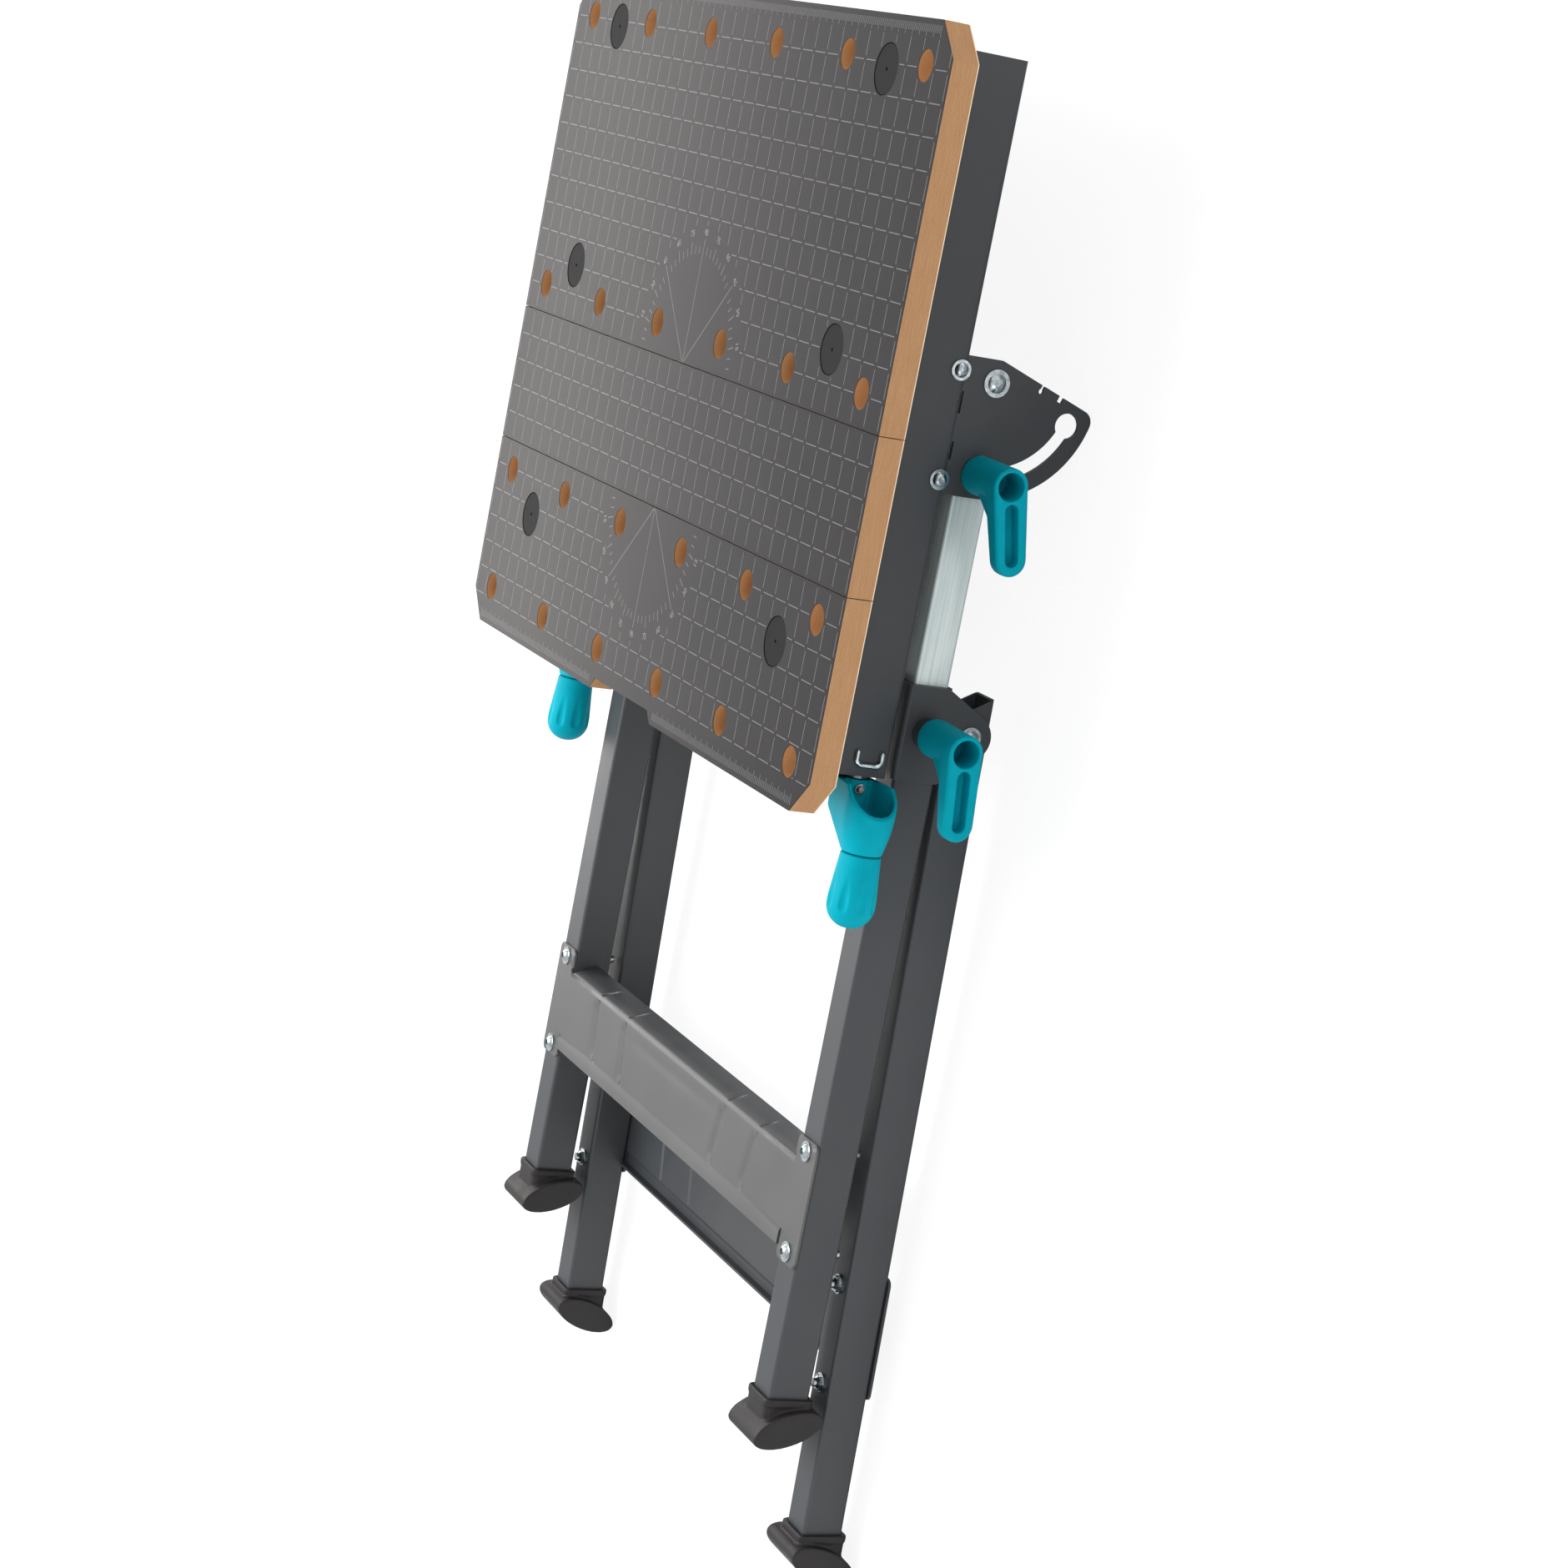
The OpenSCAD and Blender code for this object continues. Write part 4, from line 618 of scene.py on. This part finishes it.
# Whether a stroke's point is free of holes, caps and the protractors
def printable(across, down):
    if nearOne(dogHoles, across, down, dogLook["radius"] + gridLook["holeClear"]):
        return False
    if nearOne(capHoles, across, down, capLook["radius"] + gridLook["holeClear"]):
        return False
    for place in protractors.values():
        beyond = (down - place["down"]) * place["sign"]
        reach = math.hypot(across, down - place["down"])
        if beyond > -gridLook["arcBehind"] and reach < gridLook["arcClear"]:
            return False
    return True


# The free stretches of a dash along its line, found in small steps
def freeParts(across, down, length, upright):
    step = gridLook["step"]
    parts = []
    start = None
    count = round(length / step)
    for index in range(count + 1):
        shift = -length / 2 + index * step
        place = (across, down + shift) if upright else (across + shift, down)
        inside = printable(*place)
        if inside and start is None:
            start = shift
        if start is not None and (not inside or index == count):
            end = shift if inside else shift - step
            if end - start > gridLook["shortest"]:
                parts.append(((start + end) / 2, end - start))
            start = None
    return parts


def gridStrokes(place):
    pitch, dash, width = gridLook["pitch"], gridLook["dash"], gridLook["width"]
    columns = gridLook["columns"]
    strokes = []
    for row in range(*place["rows"]):
        for column in range(-columns, columns):
            middle = (column + 0.5) * pitch
            for shift, long in freeParts(middle, row, dash, False):
                strokes.append((middle + shift, row, long, width, 0))
    for cell in range(*place["cells"]):
        middle = (cell + 0.5) * pitch
        low, high = middle - dash / 2, middle + dash / 2
        low, high = max(low, place["ends"][0]), min(high, place["ends"][1])
        for column in range(-columns, columns + 1):
            for shift, long in freeParts(column * pitch, (low + high) / 2, high - low, True):
                strokes.append((column * pitch, (low + high) / 2 + shift, long, width, 90))
    return strokes


# Rulers: a tick every 2 mm, longer ones at each centimetre
rulerLook = {"pitch": 2, "long": 7.3, "short": 4.8, "longEach": 5, "width": 0.45, "reach": 300,
             "notchClear": 61}


def rulerStrokes(edge, sign, notch):
    strokes = []
    count = round(rulerLook["reach"] / rulerLook["pitch"])
    for index in range(-count, count + 1):
        across = index * rulerLook["pitch"]
        if notch and abs(across) < rulerLook["notchClear"]:
            continue
        length = rulerLook["long"] if index % rulerLook["longEach"] == 0 else rulerLook["short"]
        strokes.append((across, edge + sign * length / 2, length, rulerLook["width"], 90))
    return strokes


# Protractors: three rays, a tick every 5 degrees and numbers every 15
arcLook = {"rays": (45, 90, 135), "rayStart": 1.5, "ray": 85, "tick": 5, "longTick": 15,
           "inner": 75, "outer": 80.3, "longOuter": 83.5, "numbers": 89.5, "width": 0.6, "tall": 6.2,
           "bold": 0.08, "smooth": 3}


def protractorStrokes(place):
    strokes = []
    for turn in range(arcLook["tick"], 180, arcLook["tick"]):
        angle = math.radians(turn)
        side, away = math.cos(angle), math.sin(angle) * place["sign"]
        tilt = -math.degrees(math.atan2(away, side))
        first = arcLook["inner"]
        last = arcLook["longOuter"] if turn % arcLook["longTick"] == 0 else arcLook["outer"]
        if turn in arcLook["rays"]:
            first = arcLook["rayStart"]
            last = arcLook["ray"]
        middle = (first + last) / 2
        strokes.append((side * middle, place["down"] + away * middle, last - first, arcLook["width"], tilt))
    return strokes


# Numbers stand along the arc with their feet towards the apex
def printNumbers(name, body, place):
    joined = bmesh.new()
    for turn in range(arcLook["longTick"], 180, arcLook["longTick"]):
        angle = math.radians(turn)
        side, away = math.cos(angle), math.sin(angle) * place["sign"]
        curve = bpy.data.curves.new("number", "FONT")
        curve.body = str(turn if turn <= 90 else 180 - turn)
        curve.size = arcLook["tall"]
        curve.align_x = "CENTER"
        curve.align_y = "CENTER"
        curve.extrude = inkThick / 2
        curve.resolution_u = arcLook["smooth"]
        curve.offset = arcLook["bold"]
        glyph = bpy.data.objects.new("number", curve)
        bpy.context.scene.collection.objects.link(glyph)
        bpy.context.view_layer.update()
        mesh = bpy.data.meshes.new_from_object(glyph.evaluated_get(bpy.context.evaluated_depsgraph_get()))
        reach = arcLook["numbers"]
        spot = benchPoint(side * reach, place["down"] + away * reach, inkMiddle)
        upright = math.atan2(-away, side) - math.pi / 2
        if place["sign"] > 0:
            upright += math.pi
        mesh.transform(Matrix.Translation(spot) @ Matrix.Rotation(upright, 4, "Z") @ Matrix.Scale(mm, 4))
        joined.from_mesh(mesh)
        bpy.data.objects.remove(glyph)
    mesh = bpy.data.meshes.new(name)
    joined.to_mesh(mesh)
    joined.free()
    mesh.materials.clear()
    mesh.materials.append(ink)
    piece = bpy.data.objects.new(name, mesh)
    bpy.context.scene.collection.objects.link(piece)
    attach(piece, body)


# What each board carries: the rows and cells of its grid, where its uprights end, and its ruler
prints = {
    "rear": {"body": "table", "rows": (-220, -19, 20), "cells": (-12, 0), "ends": (-241, -1),
             "ruler": (-246.3, 1, False)},
    "panel": {"body": "middle_panel", "rows": (20, 81, 20), "cells": (0, 5), "ends": (1, 99)},
    "front": {"body": "front_jaw", "rows": (120, 221, 20), "cells": (5, 11), "ends": (101, 222.5),
              "ruler": (236.3, -1, True)},
}
for name, place in prints.items():
    strokes = gridStrokes(place)
    if "ruler" in place:
        strokes += rulerStrokes(*place["ruler"]) + protractorStrokes(protractors[name])
    printStrokes(name + "Print", place["body"], strokes)
    print("printed", name, "board,", len(strokes), "strokes")
for name, place in protractors.items():
    printNumbers(name + "Numbers", prints[name]["body"], place)


# Spindles with their thread: rings of points whose radius follows the turns
threadLook = {"lead": 5, "depth": 1.1, "steep": 4, "crest": 0.5, "sides": 28, "step": 0.5, "free": 3,
              "chamfer": 1.5, "end": 196, "radius": 7, "collars": ((199.8, 205.2), (208.8, 225.7)),
              "collarRadius": 10, "collarBreak": 0.4}


# The rings of points along a spindle: place, radius and whether the thread is cut into it
def spindleRings(first, last):
    look = threadLook
    plain, full, edge = look["radius"], look["collarRadius"], look["collarBreak"]
    rings = [(first, plain - look["chamfer"], 0), (first + look["chamfer"], plain - look["depth"], 0)]
    along = first + look["free"]
    while along < look["end"]:
        rings.append((along, plain, 1))
        along += look["step"]
    rings.append((look["end"], plain, 0))
    for start, end in look["collars"]:
        rings += [(start, plain, 0), (start, full - edge, 0), (start + edge, full, 0)]
        rings += [(end - edge, full, 0), (end, full - edge, 0), (end, plain, 0)]
    rings.append((last, plain, 0))
    return rings


def threadedSpindle(name):
    look = threadLook
    low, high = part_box(name)
    axisX, axisZ = (low.x + high.x) / 2, (low.z + high.z) / 2
    rings = spindleRings((seamY - high.y) / mm, (seamY - low.y) / mm)
    count = look["sides"]
    points = []
    for along, radius, cutIn in rings:
        for index in range(count):
            phase = (along / look["lead"] - index / count) % 1
            deep = min(1, max(0, look["steep"] * abs(phase - 0.5) - look["crest"])) * look["depth"] * cutIn
            turn = 2 * math.pi * index / count
            reach = (radius - deep) * mm
            x, z = axisX + reach * math.cos(turn), axisZ + reach * math.sin(turn)
            points.append((x, seamY - along * mm, z))
    faces = []
    for ring in range(len(rings) - 1):
        here, there = ring * count, (ring + 1) * count
        for index in range(count):
            after = (index + 1) % count
            faces.append((here + index, here + after, there + after, there + index))
    faces.append(tuple(reversed(range(count))))
    faces.append(tuple(range((len(rings) - 1) * count, len(rings) * count)))
    mesh = bpy.data.meshes.new(name + ".thread")
    mesh.from_pydata(points, [], faces)
    shape = bmesh.new()
    shape.from_mesh(mesh)
    bmesh.ops.recalc_face_normals(shape, faces=shape.faces)
    piece = addPiece(name + ".threaded", shape, slotOf[name])
    shadeByAngle(piece)
    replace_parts(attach(piece, nodes[name]["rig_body"]), name)


threaded = ("spindle_left", "spindle_right")
for name in threaded:
    threadedSpindle(name)
print("threads cut")


# The front tread's face, hollow beside its creases and below its top bend, in mm of the tread
softLook = {"creases": (97, 154), "middle": 515, "top": -22, "low": 23, "lean": 0.1766, "sheetEnd": 96.4,
            "valley": 1.5, "valleyAt": -4.2, "valleyWide": 3.2,
            "hollow": 0.9, "hollowAt": -14, "hollowWide": 4.5, "hollowHalf": 96, "fade": 7,
            "besides": (-14, -11, -8.5, -6.5, -4.6, -3, 3, 6), "middles": (-72, -48, -24, 0, 24, 48, 72),
            "cutWeld": 1e-6,
            "levels": (-22, -20, -18, -16, -14, -12, -10, -8, -5, 0, 6, 11, 15, 18, 20.5, 23)}


# How far the face sinks at a place, faded out at the upper and lower ends of the creases
def softDepth(across, level):
    look = softLook
    fromTop = min(1, max(0, (level - look["top"]) / look["fade"]))
    fromLow = min(1, max(0, (look["low"] - level) / look["fade"]))
    ends = fromTop * fromLow
    deep = 0
    for side in (-1, 1):
        for crease in look["creases"]:
            beside = across - side * (crease - (level - look["top"]) * look["lean"])
            deep += look["valley"] * math.exp(-((beside - look["valleyAt"]) / look["valleyWide"]) ** 2)
    middle = max(0, 1 - (across / look["hollowHalf"]) ** 2)
    deep += look["hollow"] * math.exp(-((level - look["hollowAt"]) / look["hollowWide"]) ** 2) * middle
    return deep * ends * ends * (3 - 2 * ends)


def softTread(name):
    look = softLook
    shape = flatCopy(name)
    cuts = []
    for side in (-1, 1):
        for crease in look["creases"]:
            for beside in look["besides"]:
                spot = benchPoint(side * crease + beside, look["middle"] + look["top"])
                cuts.append((spot, (1, -side * look["lean"], 0)))
    for across in look["middles"]:
        cuts.append((benchPoint(across, 0), (1, 0, 0)))
    for level in look["levels"]:
        cuts.append((benchPoint(0, look["middle"] + level), (0, 1, 0)))
    for spot, normal in cuts:
        everything = shape.verts[:] + shape.edges[:] + shape.faces[:]
        bmesh.ops.bisect_plane(shape, geom=everything, dist=look["cutWeld"], plane_co=spot, plane_no=normal)
    bmesh.ops.triangulate(shape, faces=shape.faces)
    for vertex in shape.verts:
        behind = (faceTop - vertex.co.z) / mm
        if behind < look["sheetEnd"]:
            level = (seamY - vertex.co.y) / mm - look["middle"]
            vertex.co.z -= softDepth(vertex.co.x / mm, level) * mm
    piece = addPiece(name + ".soft", shape, slotOf[name])
    shadeByAngle(piece)
    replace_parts(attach(piece, nodes[name]["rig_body"]), name)


softened = "front_tread"
softTread(softened)
print("tread softened")

# The other nodes keep their shape and are only shaded
finished = (*edgeWidths, *mouldedVoxels, *threaded, softened)
for name, node in nodes.items():
    if name not in finished:
        shadeByAngle(node)


# Camera of the photograph: place in mm, the directions of its picture and its lens
camera = {"across": 2348.051, "down": -177.638, "behind": -980.921, "focalPixels": 4461.766, "picture": 1880,
          "sensor": 36, "clipEnd": 50,
          "right": (0.391359, 0.1896995, -0.9004733), "up": (-0.237092, 0.966273, 0.1005176)}


def addCamera():
    right = Vector(camera["right"]).normalized()
    up = Vector(camera["up"])
    up = (up - right * up.dot(right)).normalized()
    back = right.cross(up)
    data = bpy.data.cameras.new("camera")
    data.sensor_width = camera["sensor"]
    data.lens = camera["focalPixels"] / camera["picture"] * camera["sensor"]
    data.clip_end = camera["clipEnd"]
    made = bpy.data.objects.new("camera", data)
    turn = Matrix((right, up, back)).transposed().to_4x4()
    place = benchPoint(camera["across"], camera["down"], camera["behind"])
    made.matrix_world = Matrix.Translation(place) @ turn
    bpy.context.scene.collection.objects.link(made)
    bpy.context.scene.camera = made


# Milky floor that shows white, keeps the shadow and lets a leg below it be seen, with the same white around
stage = {"size": 30.0, "below": 0.0005, "floor": 0.80, "rough": 0.9, "glow": 0.42, "clear": 0.8,
         "world": 0.9, "mirrored": 0.50}


def floorFinish():
    made = Finish("floorFinish")
    seen = made.add("ShaderNodeLightPath", output="Is Camera Ray")
    body = made.shader(color=grey(stage["floor"]), rough=stage["rough"])
    light = made.add("ShaderNodeEmission", inputs={"Color": grey(1), "Strength": seen * stage["glow"]})
    both = made.add("ShaderNodeAddShader", inputs={0: body, 1: light})
    through = made.add("ShaderNodeBsdfTransparent")
    milky = made.add("ShaderNodeMixShader", inputs={0: seen * stage["clear"], 1: both, 2: through})
    return made.closed(milky)


def addStage():
    shape = bmesh.new()
    bmesh.ops.create_grid(shape, x_segments=1, y_segments=1, size=stage["size"] / 2)
    bmesh.ops.translate(shape, verts=shape.verts, vec=(0, 0, cadBox[0][2] - stage["below"]))
    mesh = bpy.data.meshes.new("floor")
    shape.to_mesh(mesh)
    shape.free()
    mesh.materials.append(floorFinish())
    floor = bpy.data.objects.new("floor", mesh)
    bpy.context.scene.collection.objects.link(floor)
    world = bpy.data.worlds.new("studio")
    world.use_nodes = True
    graph = Graph(world.node_tree)
    world.node_tree.nodes.clear()
    seen = graph.add("ShaderNodeLightPath", output="Is Camera Ray")
    mirrored = graph.other("Is Glossy Ray")
    through = graph.other("Is Transmission Ray")
    white = seen.math("MAXIMUM", seen, seen.math("MAXIMUM", mirrored * stage["mirrored"], through))
    strength = white * (1 - stage["world"]) + stage["world"]
    sky = graph.add("ShaderNodeBackground", inputs={"Color": grey(1), "Strength": strength})
    graph.add("ShaderNodeOutputWorld", inputs={"Surface": sky})
    bpy.context.scene.world = world


# Soft boxes: place, the point they face, width and height, power and colour; one only makes reflections
lamps = {
    "mainBox": {"place": (-0.7, 0.4, 2.6), "aim": (0, 0, 0.1), "size": (1.8, 1.8), "watts": 90,
                "color": (1, 1, 1)},
    "sideBox": {"place": (2.4, -1.4, 0.9), "aim": (0.2, 0, 0.1), "size": (1.2, 1.2), "watts": 9,
                "color": (1, 1, 1)},
    "edgeBox": {"place": (-0.85, 0.25, 0.42), "aim": (0, 0.25, 0.183), "size": (1.1, 0.16), "watts": 4.2,
                "color": (1, 0.97, 0.94), "mirrorOnly": True},
}


def addLamps():
    for name, lamp in lamps.items():
        data = bpy.data.lights.new(name, "AREA")
        data.shape = "RECTANGLE"
        data.size, data.size_y = lamp["size"]
        data.energy = lamp["watts"]
        data.color = lamp["color"]
        made = bpy.data.objects.new(name, data)
        made.location = lamp["place"]
        facing = Vector(lamp["aim"]) - Vector(lamp["place"])
        made.rotation_euler = facing.to_track_quat("-Z", "Y").to_euler()
        made.visible_camera = False
        made.visible_diffuse = not lamp.get("mirrorOnly", False)
        bpy.context.scene.collection.objects.link(made)


addCamera()
addStage()
addLamps()
bpy.context.scene.view_settings.view_transform = "Standard"
print("camera, stage and lamps set")
